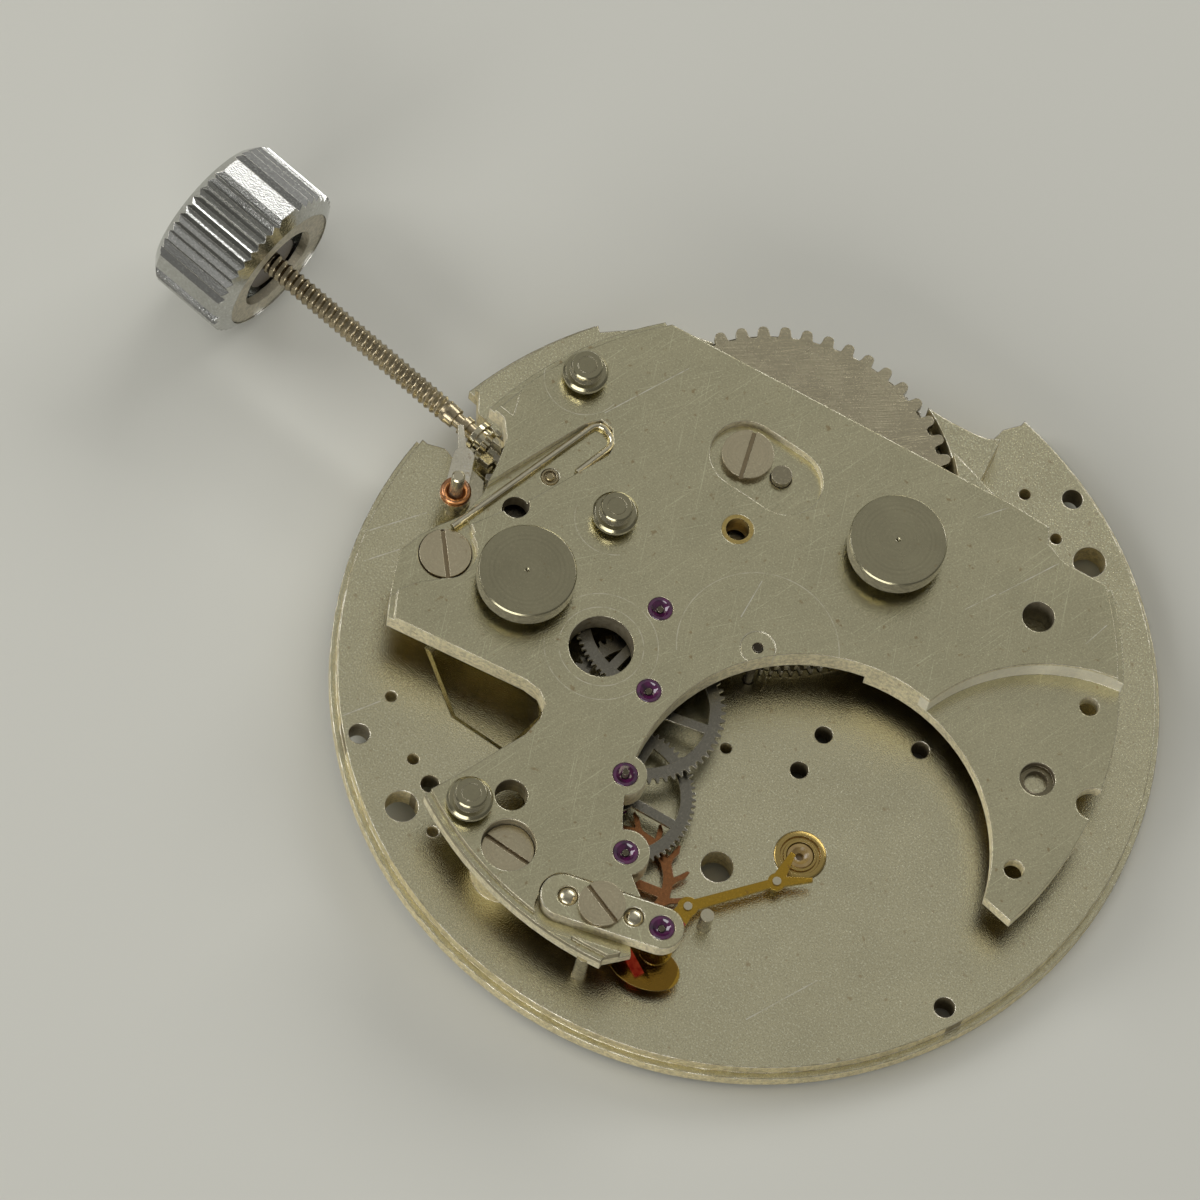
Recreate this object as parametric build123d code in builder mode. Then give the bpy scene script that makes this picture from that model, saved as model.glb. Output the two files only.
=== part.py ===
from build123d import *
import os
from math import atan2, cos, degrees, hypot, pi, radians, sin

os.makedirs("parts", exist_ok=True)

# A hand-wound watch movement, seen from the bridge side, with the balance and its cock taken off.
# Z = 0 is the dial seat, +Z points to the bridge side, +X runs out along the winding stem.
# Places in the plane are shares of the flange radius. Lengths are millimetres.

# Driving sizes of the plate and the bridge
flange_r = 15.5
flange_thick = 0.6
body_inset = 0.25
plate_thick = 1.15
bridge_inset = 1.9
bridge_under = 2.95
bridge_thick = 1.05
low_bridge_top = 3.0
low_bridge_thick = 0.6
bridge_rim_inset = 0.25
bridge_rim_drop = 0.25
overrun = 1.0

body_r = flange_r - body_inset
bridge_r = flange_r - bridge_inset
plate_top = plate_thick
bridge_top = bridge_under + bridge_thick
low_bridge_under = low_bridge_top - low_bridge_thick

# Clearances
running_gap = 0.03
face_gap = 0.08
teeth_gap = 0.12
wheel_side_gap = 0.07

# Places of the arbors, as shares of the flange radius
barrel_shares = (0.252, -0.383)
crown_wheel_shares = (0.655, 0.0)
second_shares = (0.234, 0.084)
third_shares = (0.116, 0.261)
fourth_shares = (0.017, 0.459)
escape_shares = (-0.112, 0.605)
pallet_shares = (-0.297, 0.689)
balance_shares = (-0.386, 0.261)
click_shares = (-0.222, -0.545)
lever_pivot_shares = (0.805, 0.165)
yoke_pivot_shares = (0.729, 0.232)

# Tooth counts, which set the ratios of the trains
barrel_teeth = 114
second_pinion_leaves = 8
second_teeth = 80
third_pinion_leaves = 8
third_teeth = 60
fourth_pinion_leaves = 10
fourth_teeth = 70
escape_pinion_leaves = 7
escape_teeth = 15
ratchet_teeth = 49
crown_wheel_teeth = 16
minute_teeth = 36

# Heights of the wheels above the dial seat
barrel_low = 1.1
barrel_tooth_width = 0.4
barrel_height = 1.12
ratchet_low = 2.32
ratchet_thick = 0.33
second_wheel_low = 2.73
second_wheel_thick = 0.14
third_wheel_low = 2.3
fourth_wheel_low = 1.86
escape_wheel_low = 1.46
train_wheel_thick = 0.14
escape_wheel_thick = 0.12
pallet_plate_low = 1.66
pallet_plate_thick = 0.16

# Winding stem and crown. The stem runs just under the winding wheels.
stem_drop = 0.32
stem_thread_r = 0.45
stem_journal_r = 0.4
stem_square = 0.5
stem_pilot_r = 0.22
stem_groove_r = 0.28
crown_reach = 8.1
crown_r = 3.25
crown_length = 3.65
crown_flutes = 40
crown_flute_depth = 0.2
crown_bevel = 0.35
crown_wall = 0.62
crown_recess_depth = 1.7
crown_core_r = 1.15
crown_ring_width = 0.87
crown_ring_thick = 0.35
crown_face = flange_r + crown_reach
stem_height = ratchet_low - stem_drop


def at(shares):
    """A place in the plane from its shares of the flange radius."""
    return (flange_r * shares[0], flange_r * shares[1])


def level(shares, height):
    """A plane parallel to the dial, centred on a place."""
    return Plane((flange_r * shares[0], flange_r * shares[1], height))


def outline(table):
    """Corner points of an outline from a table of shares."""
    return [at(row) for row in table]


def apart(first, second):
    """Distance and direction from one place to another."""
    start, end = at(first), at(second)
    across, along = end[0] - start[0], end[1] - start[1]
    return hypot(across, along), degrees(atan2(along, across))


def pitch_radii(first, second, first_teeth, second_teeth):
    """Pitch radii of two wheels that mesh at their centre distance."""
    distance, _ = apart(first, second)
    module = 2 * distance / (first_teeth + second_teeth)
    return module * first_teeth / 2, module * second_teeth / 2


barrel_pitch_r, second_pinion_r = pitch_radii(barrel_shares, second_shares, barrel_teeth,
                                              second_pinion_leaves)
second_pitch_r, third_pinion_r = pitch_radii(second_shares, third_shares, second_teeth, third_pinion_leaves)
third_pitch_r, fourth_pinion_r = pitch_radii(third_shares, fourth_shares, third_teeth, fourth_pinion_leaves)
fourth_pitch_r, escape_pinion_r = pitch_radii(fourth_shares, escape_shares, fourth_teeth,
                                              escape_pinion_leaves)
ratchet_pitch_r, crown_pitch_r = pitch_radii(barrel_shares, crown_wheel_shares, ratchet_teeth,
                                             crown_wheel_teeth)
centre_shares = (0.0, 0.0)
minute_pitch_r, _ = pitch_radii(second_shares, centre_shares, minute_teeth, minute_teeth)

# Stem distances, counted outward from the pitch line where the stem passes the crown wheel
stem_line = flange_r * crown_wheel_shares[0] + crown_pitch_r
pilot_inset = 3.27
pilot_length = 2.2
clutch_middle_shares = (0.860, 0.033)
clutch_finger_half = 0.14
clutch_collar_length = 0.22
pinion_start_share = 0.085
pinion_end_share = 0.54
clutch_start_share = 0.595
lever_pin_shares = (0.934, -0.010)
lever_groove_half = 0.155
shoulder_length = 0.48
square_overrun = 0.35
journal_overrun = 0.04
pilot_start = stem_line - pilot_inset
pilot_end = pilot_start + pilot_length
clutch_middle = flange_r * clutch_middle_shares[0]
stem_bay = clutch_middle - stem_line
winding_pinion_start = stem_line + pinion_start_share * stem_bay
winding_pinion_end = stem_line + pinion_end_share * stem_bay
clutch_groove_start = clutch_middle - clutch_finger_half
clutch_groove_end = clutch_middle + clutch_finger_half
clutch_start = stem_line + clutch_start_share * stem_bay
clutch_end = clutch_groove_end + clutch_collar_length
lever_pin_place = flange_r * lever_pin_shares[0]
lever_groove_start = lever_pin_place - lever_groove_half
lever_groove_end = lever_pin_place + lever_groove_half
shoulder_end = lever_groove_end + shoulder_length
journal_end = winding_pinion_end + journal_overrun
square_end = clutch_end + square_overrun

# Share of the module that a tooth rises above and falls below its pitch circle
rise_share = 0.8
fall_share = 1.1
root_half_share = 0.31
tip_half_share = 0.11

# Half outline of a winding tooth: rise above the pitch circle in modules, and place across the tooth step
winding_tooth_shares = [(-0.9, -0.36), (-0.6, -0.29), (0.35, -0.23), (0.7, -0.14), (0.8, 0.0), (0.7, 0.14),
                        (0.35, 0.23), (-0.6, 0.29), (-0.9, 0.36)]


def tooth_points(pitch_r, teeth, phase, rise=rise_share):
    """A toothed outline with straight flanks; one tooth is centred on the phase angle."""
    module = 2 * pitch_r / teeth
    root, tip = pitch_r - fall_share * module, pitch_r + rise * module
    step = 2 * pi / teeth
    points = []
    for tooth in range(teeth):
        middle = radians(phase) + tooth * step
        sides = [(root, -root_half_share), (tip, -tip_half_share), (tip, tip_half_share), (root,
                 root_half_share)]
        points += [(r * cos(middle + share * step), r * sin(middle + share * step)) for r, share in sides]
    return points


def rounded_points(pitch_r, teeth, phase):
    """A winding wheel's outline: wide teeth with rounded tips; one tooth is centred on the phase angle."""
    module = 2 * pitch_r / teeth
    step = 2 * pi / teeth
    points = []
    for tooth in range(teeth):
        middle = radians(phase) + tooth * step
        for rise, share in winding_tooth_shares:
            reach, angle = pitch_r + rise * module, middle + share * step
            points.append((reach * cos(angle), reach * sin(angle)))
    return points


def toothed_disc(plane, pitch_r, teeth, phase, thick, bore):
    """A solid toothed disc or pinion with a bore."""
    with BuildPart() as disc:
        with BuildSketch(plane):
            with BuildLine():
                Polyline(*tooth_points(pitch_r, teeth, phase), close=True)
            make_face()
            Circle(bore, mode=Mode.SUBTRACT)
        extrude(amount=thick)
    return disc.part


spoke_count = 4
rim_width = 0.42
spoke_width = 0.36
hub_r = 0.62


def spoked_wheel(plane, pitch_r, teeth, phase, thick, bore, spoke_phase):
    """A train wheel: toothed rim, hub and straight spokes, cut from one sheet."""
    module = 2 * pitch_r / teeth
    rim_inner = pitch_r - fall_share * module - rim_width
    with BuildPart() as wheel:
        with BuildSketch(plane):
            with BuildLine():
                Polyline(*tooth_points(pitch_r, teeth, phase), close=True)
            make_face()
            Circle(rim_inner, mode=Mode.SUBTRACT)
            with PolarLocations(0, spoke_count, start_angle=spoke_phase):
                Rectangle(rim_inner + running_gap, spoke_width, align=(Align.MIN, Align.CENTER))
            Circle(hub_r)
            Circle(bore, mode=Mode.SUBTRACT)
        extrude(amount=thick)
    return wheel.part


def turned(place, steps):
    """A turned part: a stack of round steps, each with its low end, high end and radius."""
    with BuildPart() as stack:
        for low, high, radius in steps:
            with BuildSketch(level(place, low)):
                Circle(radius)
            extrude(amount=high - low)
    return stack.part


def block(table, low, high):
    """A straight-sided block over the outline of a table, between two heights."""
    with BuildPart() as body:
        with BuildSketch(Plane.XY.offset(low)):
            with BuildLine():
                Polyline(*outline(table), close=True)
            make_face()
        extrude(amount=high - low)
    return body.part


def pegs(places, radius, low, high):
    """Round pegs at several places, between two heights."""
    with BuildPart() as body:
        with BuildSketch(Plane.XY.offset(low)):
            with Locations(*[at(place) for place in places]):
                Circle(radius)
        extrude(amount=high - low)
    return body.part


def keep(part, name):
    """Label one piece and write it."""
    part.label = name
    export_step(part, f"parts/{name}.step")


# Holes of the plate, as place shares and radius
casing_hole_r = 0.61
casing_hole_shares = [(-0.405, -0.803), (0.383, 0.817)]
locating_hole_r = 0.6
locating_hole_shares = (-0.261, 0.418)
rim_thread_r = 0.39
rim_thread_shares = [(-0.268, -0.903), (0.579, 0.749), (-0.882, 0.316)]
small_hole_r = 0.22
small_hole_shares = [(-0.175, -0.832), (-0.306, -0.794), (0.588, 0.626), (0.443, 0.709), (0.287, 0.814),
                     (-0.079, 0.175)]
medium_hole_r = 0.34
medium_hole_shares = [(-0.227, -0.012), (-0.243, 0.097), (-0.421, -0.142), (0.372, 0.729)]

# Pillars that carry the bridge, as place shares
pillar_r = 1.15
high_pillar_shares = [(0.704, 0.321), (0.099, 0.779), (0.762, -0.243)]
low_pillar_shares = [(-0.690, -0.230), (-0.435, -0.525)]
bridge_screw_shares = [(0.704, 0.321), (0.099, 0.779)]
bridge_thread_r = 0.45

barrel_tip_r = barrel_pitch_r + rise_share * 2 * barrel_pitch_r / barrel_teeth
barrel_recess_floor = 0.95
barrel_recess_r = barrel_tip_r + teeth_gap
barrel_step_top = barrel_recess_floor + wheel_side_gap + barrel_tooth_width + face_gap
ratchet_tip_r = ratchet_pitch_r + rise_share * 2 * ratchet_pitch_r / ratchet_teeth
ratchet_recess_r = ratchet_tip_r + face_gap
jewel_r = 0.47
jewel_thick = 0.4
plate_jewel_low = 0.5
bush_r = 0.65
centre_arbor_r = 0.18
balance_setting_r = 0.97
pinion_recess_clear = 0.19
pinion_recess_half = 0.98
pinion_recess_start = winding_pinion_start - face_gap
pinion_recess_end = clutch_end
winding_leaves = 6
winding_pitch_r = crown_pitch_r * winding_leaves / crown_wheel_teeth
winding_tip_r = winding_pitch_r + rise_share * 2 * winding_pitch_r / winding_leaves
pinion_recess_floor = stem_height - winding_tip_r - pinion_recess_clear
minute_recess_depth = 0.42
minute_wheel_thick = 0.25
banking_shares = (-0.336, 0.553)
pin_r = 0.25
bridge_dowel_shares = [(-0.200, 0.845), (0.655, 0.400)]
lever_post_r = 0.25

barrel_side_shares = [(-0.048, -1.1), (-0.050, -0.968), (-0.026, -0.928), (-0.024, -0.86), (0.183, -0.797),
                   (0.748, -0.568), (0.86, -0.44), (1.1, -0.6), (1.0, -1.1)]
stem_notch_shares = [(0.93, -0.070), (0.966, -0.113), (1.1, -0.113), (1.1, 0.075), (0.965, 0.075),
                     (0.925, 0.055),
              (0.885, 0.063), (0.885, -0.070)]
train_pocket_shares = [(0.601, 0.470), (0.446, 0.553), (0.306, 0.536), (0.30, 0.40), (0.42, 0.30), (0.60,
                       0.32)]
train_pocket_floor = 0.55
train_rim_depth = 0.2
train_rim_slope = 45
ledge_shares = [(-0.093, -0.730), (-0.055, -0.862), (-0.030, -0.840), (0.001, -0.828), (0.056, -0.814),
                (0.115, -0.804), (0.183, -0.797), (0.183, -0.70), (0.0, -0.70)]
ledge_top = 2.6
side_block_shares = [(-0.090, -0.735), (0.0, -0.745), (-0.02, -0.70), (-0.13, -0.62), (-0.315, -0.60),
                     (-0.31, -0.70)]
pilot_block_length = 0.9
pilot_block_half = 0.6
second_wheel_clear = ratchet_low - face_gap

# Main plate: the turned disc that carries everything, with flange, recesses, pillars and holes
with BuildPart() as main_plate:
    with BuildSketch():
        Circle(flange_r)
    extrude(amount=flange_thick)
    with BuildSketch(Plane.XY.offset(flange_thick)):
        Circle(body_r)
    extrude(amount=plate_thick - flange_thick)
    add(block(barrel_side_shares, 0, plate_top), mode=Mode.SUBTRACT)
    add(block(stem_notch_shares, 0, plate_top), mode=Mode.SUBTRACT)
    add(block(side_block_shares, flange_thick, bridge_under))
    add(block(ledge_shares, flange_thick, ledge_top))
    add(pegs(high_pillar_shares, pillar_r, flange_thick, bridge_under))
    add(pegs(low_pillar_shares, pillar_r, flange_thick, low_bridge_under))
    with BuildSketch(Plane.XY.offset(plate_top)):
        with Locations((pilot_start - running_gap, 0)):
            Rectangle(pilot_block_length, 2 * pilot_block_half, align=(Align.MIN, Align.CENTER))
    extrude(amount=stem_height - plate_top)
    add(pegs([barrel_shares], barrel_recess_r, barrel_recess_floor, barrel_step_top), mode=Mode.SUBTRACT)
    add(pegs([barrel_shares], ratchet_recess_r, barrel_step_top, bridge_under), mode=Mode.SUBTRACT)
    add(block(train_pocket_shares, train_pocket_floor, plate_top), mode=Mode.SUBTRACT)
    with BuildSketch(Plane.XY.offset(plate_top)):
        with BuildLine():
            Polyline(*outline(train_pocket_shares), close=True)
        make_face()
        offset(amount=train_rim_depth, kind=Kind.INTERSECTION)
    extrude(amount=-train_rim_depth, taper=train_rim_slope, mode=Mode.SUBTRACT)
    with BuildSketch(Plane.XY.offset(pinion_recess_floor)):
        with Locations((pinion_recess_start, 0)):
            Rectangle(pinion_recess_end - pinion_recess_start, 2 * pinion_recess_half,
                      align=(Align.MIN, Align.CENTER))
    extrude(amount=plate_top - pinion_recess_floor, mode=Mode.SUBTRACT)
    with BuildSketch(Plane.YZ.offset(pilot_start - overrun)):
        with Locations((0, stem_height)):
            Circle(stem_pilot_r + running_gap)
    extrude(amount=pilot_block_length + 2 * overrun, mode=Mode.SUBTRACT)
    through_holes = [(casing_hole_shares, casing_hole_r), ([locating_hole_shares], locating_hole_r),
                     (rim_thread_shares, rim_thread_r), (small_hole_shares, small_hole_r),
                     (medium_hole_shares, medium_hole_r),
                     (bridge_screw_shares, bridge_thread_r), ([banking_shares], pin_r),
                     (bridge_dowel_shares, pin_r), ([lever_pivot_shares, yoke_pivot_shares], lever_post_r)]
    for places, hole_r in through_holes:
        add(pegs(places, hole_r, 0, bridge_top), mode=Mode.SUBTRACT)
    minute_tip_r = minute_pitch_r + 2 * rise_share * minute_pitch_r / minute_teeth
    minute_places = (second_shares, centre_shares)
    add(pegs(minute_places, minute_tip_r + teeth_gap, 0, minute_recess_depth), mode=Mode.SUBTRACT)
    jewel_places = (second_shares, third_shares, fourth_shares, escape_shares, pallet_shares)
    add(pegs(jewel_places, jewel_r, 0, plate_top), mode=Mode.SUBTRACT)
    add(pegs([centre_shares], bush_r, 0, plate_top), mode=Mode.SUBTRACT)
    add(pegs([balance_shares], balance_setting_r, 0, plate_top), mode=Mode.SUBTRACT)
    add(pegs([barrel_shares], bush_r + running_gap, 0, plate_top), mode=Mode.SUBTRACT)
keep(main_plate.part, "main_plate")

# Train bridge: one thick plate with a round cut-out for the balance, and a thinner low part beyond it
balance_clear_share = 0.44
balance_clear_r = flange_r * balance_clear_share
escape_lobe_r = 0.88
fourth_lobe_r = 0.8
low_part_shares = (-0.826, -0.116)
low_part_share = 0.445
low_part_r = flange_r * low_part_share
heel_share = 0.606
heel_r = flange_r * heel_share
far_side_shares = [(0.715, -0.495), (-0.208, -0.708), (-0.304, -0.723), (-0.332, -0.688), (-0.390, -0.677),
                (-0.461, -0.692), (-0.513, -0.703), (-0.7, -1.0), (0.9, -1.0), (1.0, -0.6)]
side_notch_shares = [(0.692, 0.540), (0.346, 0.440), (0.305, 0.437), (0.272, 0.453), (0.256, 0.490),
                     (0.254, 0.545),
              (0.269, 0.601), (0.294, 0.703), (0.324, 0.803), (0.42, 1.0), (0.82, 0.68)]
end_cut_shares = [(-0.243, 0.832), (-0.282, 0.775), (-0.242, 0.735), (-0.213, 0.671), (-0.194, 0.639),
                  (-0.5, 0.5),
           (-0.9, 0.6), (-0.5, 1.0), (-0.26, 0.95)]
stem_cut_shares = [(0.942, -0.032), (0.832, -0.032), (0.790, 0.006), (0.761, 0.077), (0.742, 0.142),
                   (0.739, 0.213),
            (0.763, 0.272), (0.781, 0.327), (0.787, 0.381), (0.903, 0.452), (1.0, 0.2)]
low_end_shares = [(-0.6, 0.086), (-0.766, 0.086), (-0.871, 0.089), (-1.0, 0.089), (-1.0, 0.5), (-0.6, 0.5)]
rim_notch_shares = (-0.827, -0.273)
rim_notch_r = 0.63
jewel_seat_r = 0.35
wheel_view_shares = (0.272, 0.254)
wheel_view_r = 1.2
post_shares = [(0.762, -0.243), (0.467, -0.014), (0.234, 0.768)]
flat_post_shares = [(0.509, 0.261), (-0.078, -0.408)]
post_shank_r = 0.5
flat_post_shank_r = 1.1
screw_hole_r = 0.5
screw_recess_r = 1.0
screw_floor = 3.15
bush_hole_shares = (0.235, -0.199)
sight_hole_shares = [(-0.435, -0.525), (0.177, 0.682)]
sight_hole_r = 0.6
dark_hole_shares = (0.659, 0.121)
dark_hole_r = 0.5
low_screw_shares = (-0.690, -0.230)
low_screw_hole_r = 0.43
low_screw_recess_r = 0.66
low_screw_floor = 2.7
low_small_hole_shares = [(-0.662, -0.459), (-0.795, -0.016)]
low_small_r = 0.37
arbor_recess_start_shares = (0.233, -0.376)
arbor_recess_end_shares = (0.347, -0.362)
arbor_recess_width = 2.75
arbor_recess_floor = 3.6
barrel_screw_shares = (0.347, -0.368)
barrel_screw_r = 0.98
arbor_tip_r = 0.39
spring_pocket_shares = [(0.746, 0.114), (0.681, -0.156), (0.660, -0.190), (0.625, -0.190), (0.594, -0.160),
                 (0.585, -0.131), (0.644, 0.085), (0.720, 0.27), (0.77, 0.30)]
spring_pocket_floor = 3.65
cock_slot_start_shares = (-0.075, 0.787)
cock_slot_half = 0.86
cock_recess_floor = 3.35
cock_side_recess = 0.5
cock_screw_shares = (-0.158, 0.744)
cock_screw_r = 0.86
cock_thread_r = 0.35
steady_shares = [(-0.086, 0.780), (-0.232, 0.714)]
steady_r = 0.38
crown_stud_r = 0.35
click_stud_r = 0.3
milled_corner_shares = [(0.865, -0.142), (0.820, -0.052), (0.97, -0.04), (0.97, -0.142)]
milled_corner_floor = 3.8
screw_land_shares = [(0.740, 0.521), (0.723, 0.488), (0.693, 0.425), (0.650, 0.370), (0.683, 0.241),
                     (0.759, 0.200), (0.9, 0.3), (0.9, 0.5)]
screw_land_floor = 3.55
screw_land_r = 1.16
slot_start, slot_end = at(cock_slot_start_shares), at(pallet_shares)
cock_length, cock_turn = apart(cock_slot_start_shares, pallet_shares)
recess_length, recess_turn = apart(arbor_recess_start_shares, arbor_recess_end_shares)


top_jewels = (second_shares, third_shares, fourth_shares, escape_shares)
jewel_floor = bridge_top - jewel_thick

with BuildPart() as train_bridge:
    with BuildSketch(Plane.XY.offset(bridge_under)):
        Circle(bridge_r)
        with Locations(at(balance_shares)):
            Circle(balance_clear_r, mode=Mode.SUBTRACT)
        with Locations(at(low_part_shares)):
            Circle(low_part_r, mode=Mode.SUBTRACT)
        with Locations(at(escape_shares)):
            Circle(escape_lobe_r)
        with Locations(at(fourth_shares)):
            Circle(fourth_lobe_r)
    extrude(amount=bridge_thick)
    with BuildSketch(Plane.XY.offset(bridge_top - bridge_rim_drop)):
        Circle(bridge_r + overrun)
        Circle(bridge_r - bridge_rim_inset, mode=Mode.SUBTRACT)
    extrude(amount=bridge_rim_drop, mode=Mode.SUBTRACT)
    with BuildSketch(Plane.XY.offset(low_bridge_under)):
        with Locations(at(low_part_shares)):
            Circle(low_part_r)
        Circle(bridge_r, mode=Mode.INTERSECT)
        with Locations(at(balance_shares)):
            Circle(balance_clear_r, mode=Mode.SUBTRACT)
    extrude(amount=low_bridge_thick)
    with BuildSketch(Plane.XY.offset(low_bridge_under)):
        with Locations(at(low_part_shares)):
            Circle(heel_r)
            Circle(low_part_r - overrun, mode=Mode.SUBTRACT)
        Circle(bridge_r, mode=Mode.INTERSECT)
        with Locations(at(balance_shares)):
            Circle(balance_clear_r, mode=Mode.SUBTRACT)
        with Locations(at(escape_shares)):
            Circle(heel_r, mode=Mode.SUBTRACT)
    extrude(amount=low_bridge_thick)
    for table in (far_side_shares, side_notch_shares, end_cut_shares, stem_cut_shares, low_end_shares):
        add(block(table, low_bridge_under, bridge_top), mode=Mode.SUBTRACT)
    add(block(spring_pocket_shares, spring_pocket_floor, bridge_top), mode=Mode.SUBTRACT)
    add(block(milled_corner_shares, milled_corner_floor, bridge_top), mode=Mode.SUBTRACT)
    add(block(screw_land_shares, screw_land_floor, bridge_top), mode=Mode.SUBTRACT)
    add(pegs([bridge_screw_shares[0]], screw_land_r, screw_land_floor, bridge_top), mode=Mode.SUBTRACT)
    add(pegs([rim_notch_shares], rim_notch_r, low_bridge_under, bridge_top), mode=Mode.SUBTRACT)
    add(pegs(top_jewels, jewel_seat_r, bridge_under, bridge_top), mode=Mode.SUBTRACT)
    add(pegs(top_jewels, jewel_r, jewel_floor, bridge_top), mode=Mode.SUBTRACT)
    add(pegs([centre_shares], bush_r, bridge_under, bridge_top), mode=Mode.SUBTRACT)
    add(pegs([wheel_view_shares], wheel_view_r, bridge_under, bridge_top), mode=Mode.SUBTRACT)
    add(pegs(post_shares, post_shank_r, bridge_under, bridge_top), mode=Mode.SUBTRACT)
    add(pegs(flat_post_shares, flat_post_shank_r, bridge_under, bridge_top), mode=Mode.SUBTRACT)
    add(pegs(bridge_screw_shares, screw_hole_r, bridge_under, bridge_top), mode=Mode.SUBTRACT)
    add(pegs(bridge_screw_shares, screw_recess_r, screw_floor, bridge_top), mode=Mode.SUBTRACT)
    add(pegs([bush_hole_shares], sight_hole_r, bridge_under, bridge_top), mode=Mode.SUBTRACT)
    add(pegs(sight_hole_shares, sight_hole_r, low_bridge_under, bridge_top), mode=Mode.SUBTRACT)
    add(pegs([dark_hole_shares], dark_hole_r, bridge_under, bridge_top), mode=Mode.SUBTRACT)
    add(pegs([low_screw_shares], low_screw_hole_r, low_bridge_under, bridge_top), mode=Mode.SUBTRACT)
    add(pegs([low_screw_shares], low_screw_recess_r, low_screw_floor, bridge_top), mode=Mode.SUBTRACT)
    add(pegs(low_small_hole_shares, low_small_r, low_bridge_under, bridge_top), mode=Mode.SUBTRACT)
    add(pegs([barrel_shares], arbor_tip_r + running_gap, bridge_under, bridge_top), mode=Mode.SUBTRACT)
    add(pegs([barrel_screw_shares], cock_thread_r, bridge_under, bridge_top), mode=Mode.SUBTRACT)
    add(pegs([crown_wheel_shares], crown_stud_r, bridge_under, bridge_top), mode=Mode.SUBTRACT)
    add(pegs([cock_screw_shares], cock_thread_r, bridge_under, bridge_top), mode=Mode.SUBTRACT)
    add(pegs(steady_shares, steady_r, bridge_under, bridge_top), mode=Mode.SUBTRACT)
    add(pegs(bridge_dowel_shares, pin_r, bridge_under, screw_floor), mode=Mode.SUBTRACT)
    add(pegs([click_shares], click_stud_r, bridge_under, screw_floor), mode=Mode.SUBTRACT)
    recess_place = Location((*at(arbor_recess_start_shares), arbor_recess_floor), (0, 0, recess_turn))
    with BuildSketch(Plane(recess_place)):
        with Locations((recess_length / 2, 0)):
            SlotCenterToCenter(recess_length, arbor_recess_width)
    extrude(amount=bridge_top - arbor_recess_floor, mode=Mode.SUBTRACT)
    slot_place = Location((*slot_start, cock_recess_floor), (0, 0, cock_turn))
    with BuildSketch(Plane(slot_place)):
        with Locations((cock_length / 2, 0)):
            SlotCenterToCenter(cock_length, 2 * cock_slot_half)
        with Locations((cock_length / 2, -cock_side_recess)):
            SlotCenterToCenter(cock_length, 2 * cock_slot_half)
    extrude(amount=bridge_top - cock_recess_floor, mode=Mode.SUBTRACT)
keep(train_bridge.part, "train_bridge")

# Pallet cock: a small round-ended bar let into the bridge, reaching over the pallet arbor
cock_half = 0.8
cock_top = 4.05
with BuildPart() as pallet_cock:
    with BuildSketch(Plane(slot_place)):
        with Locations((cock_length / 2, 0)):
            SlotCenterToCenter(cock_length, 2 * cock_half)
    extrude(amount=cock_top - cock_recess_floor)
    add(pegs([pallet_shares], jewel_r, cock_recess_floor, cock_top), mode=Mode.SUBTRACT)
    add(pegs(steady_shares, steady_r, cock_recess_floor, cock_top), mode=Mode.SUBTRACT)
    add(pegs([cock_screw_shares], cock_thread_r, cock_recess_floor, cock_top), mode=Mode.SUBTRACT)
keep(pallet_cock.part, "pallet_cock")

# Fillister screws: the bridge pair, the barrel bridge screw and the cock screw
slot_width = 0.16
slot_depth = 0.14
bridge_screw_r = 0.96
bridge_screw_tops = (3.66, 3.5)
screw_low = 1.3


def screw(place, head_r, head_low, head_top, shank_r, shank_low, slot_turn):
    """A slotted screw: head with its slot, and a plain shank."""
    with BuildPart() as piece:
        with BuildSketch(level(place, shank_low)):
            Circle(shank_r)
        extrude(amount=head_low - shank_low)
        with BuildSketch(level(place, head_low)):
            Circle(head_r)
        extrude(amount=head_top - head_low)
        with BuildSketch(level(place, head_top - slot_depth)):
            Rectangle(2 * head_r + slot_width, slot_width, rotation=slot_turn)
        extrude(amount=slot_depth, mode=Mode.SUBTRACT)
    return piece.part


left_slot_turn = 138
lower_slot_turn = 7
barrel_slot_turn = 115
cock_slot_turn = -12
left_screw = screw(bridge_screw_shares[0], bridge_screw_r, screw_floor, bridge_screw_tops[0],
                   bridge_thread_r, screw_low, left_slot_turn)
lower_screw = screw(bridge_screw_shares[1], bridge_screw_r, screw_floor, bridge_screw_tops[1],
                    bridge_thread_r, screw_low, lower_slot_turn)
keep(Compound(children=[left_screw, lower_screw]), "bridge_screws")
barrel_screw_top = 3.92
keep(screw(barrel_screw_shares, barrel_screw_r, arbor_recess_floor, barrel_screw_top, cock_thread_r,
           bridge_under, barrel_slot_turn), "barrel_screw")
cock_screw_top = 4.25
keep(screw(cock_screw_shares, cock_screw_r, cock_top, cock_screw_top, cock_thread_r, bridge_under,
           cock_slot_turn), "pallet_cock_screw")

# Posts on the bridge: two wide flat heads and three small collared pins, pressed into the bridge
flat_head_r = 1.82
flat_head_low = 4.55
flat_head_top = 5.35
collar_low, collar_top, collar_r = 4.25, 4.68, 0.85
cap_top, cap_r = 5.18, 0.6
collared_steps = [(bridge_under, collar_low, post_shank_r), (collar_low, collar_top, collar_r),
                 (collar_top, cap_top, cap_r)]
flat_steps = [(bridge_under, flat_head_low, flat_post_shank_r), (flat_head_low, flat_head_top, flat_head_r)]
keep(Compound(children=[turned(place, flat_steps) for place in flat_post_shares]), "flat_head_posts")
keep(Compound(children=[turned(place, collared_steps) for place in post_shares]), "collared_posts")


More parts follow.
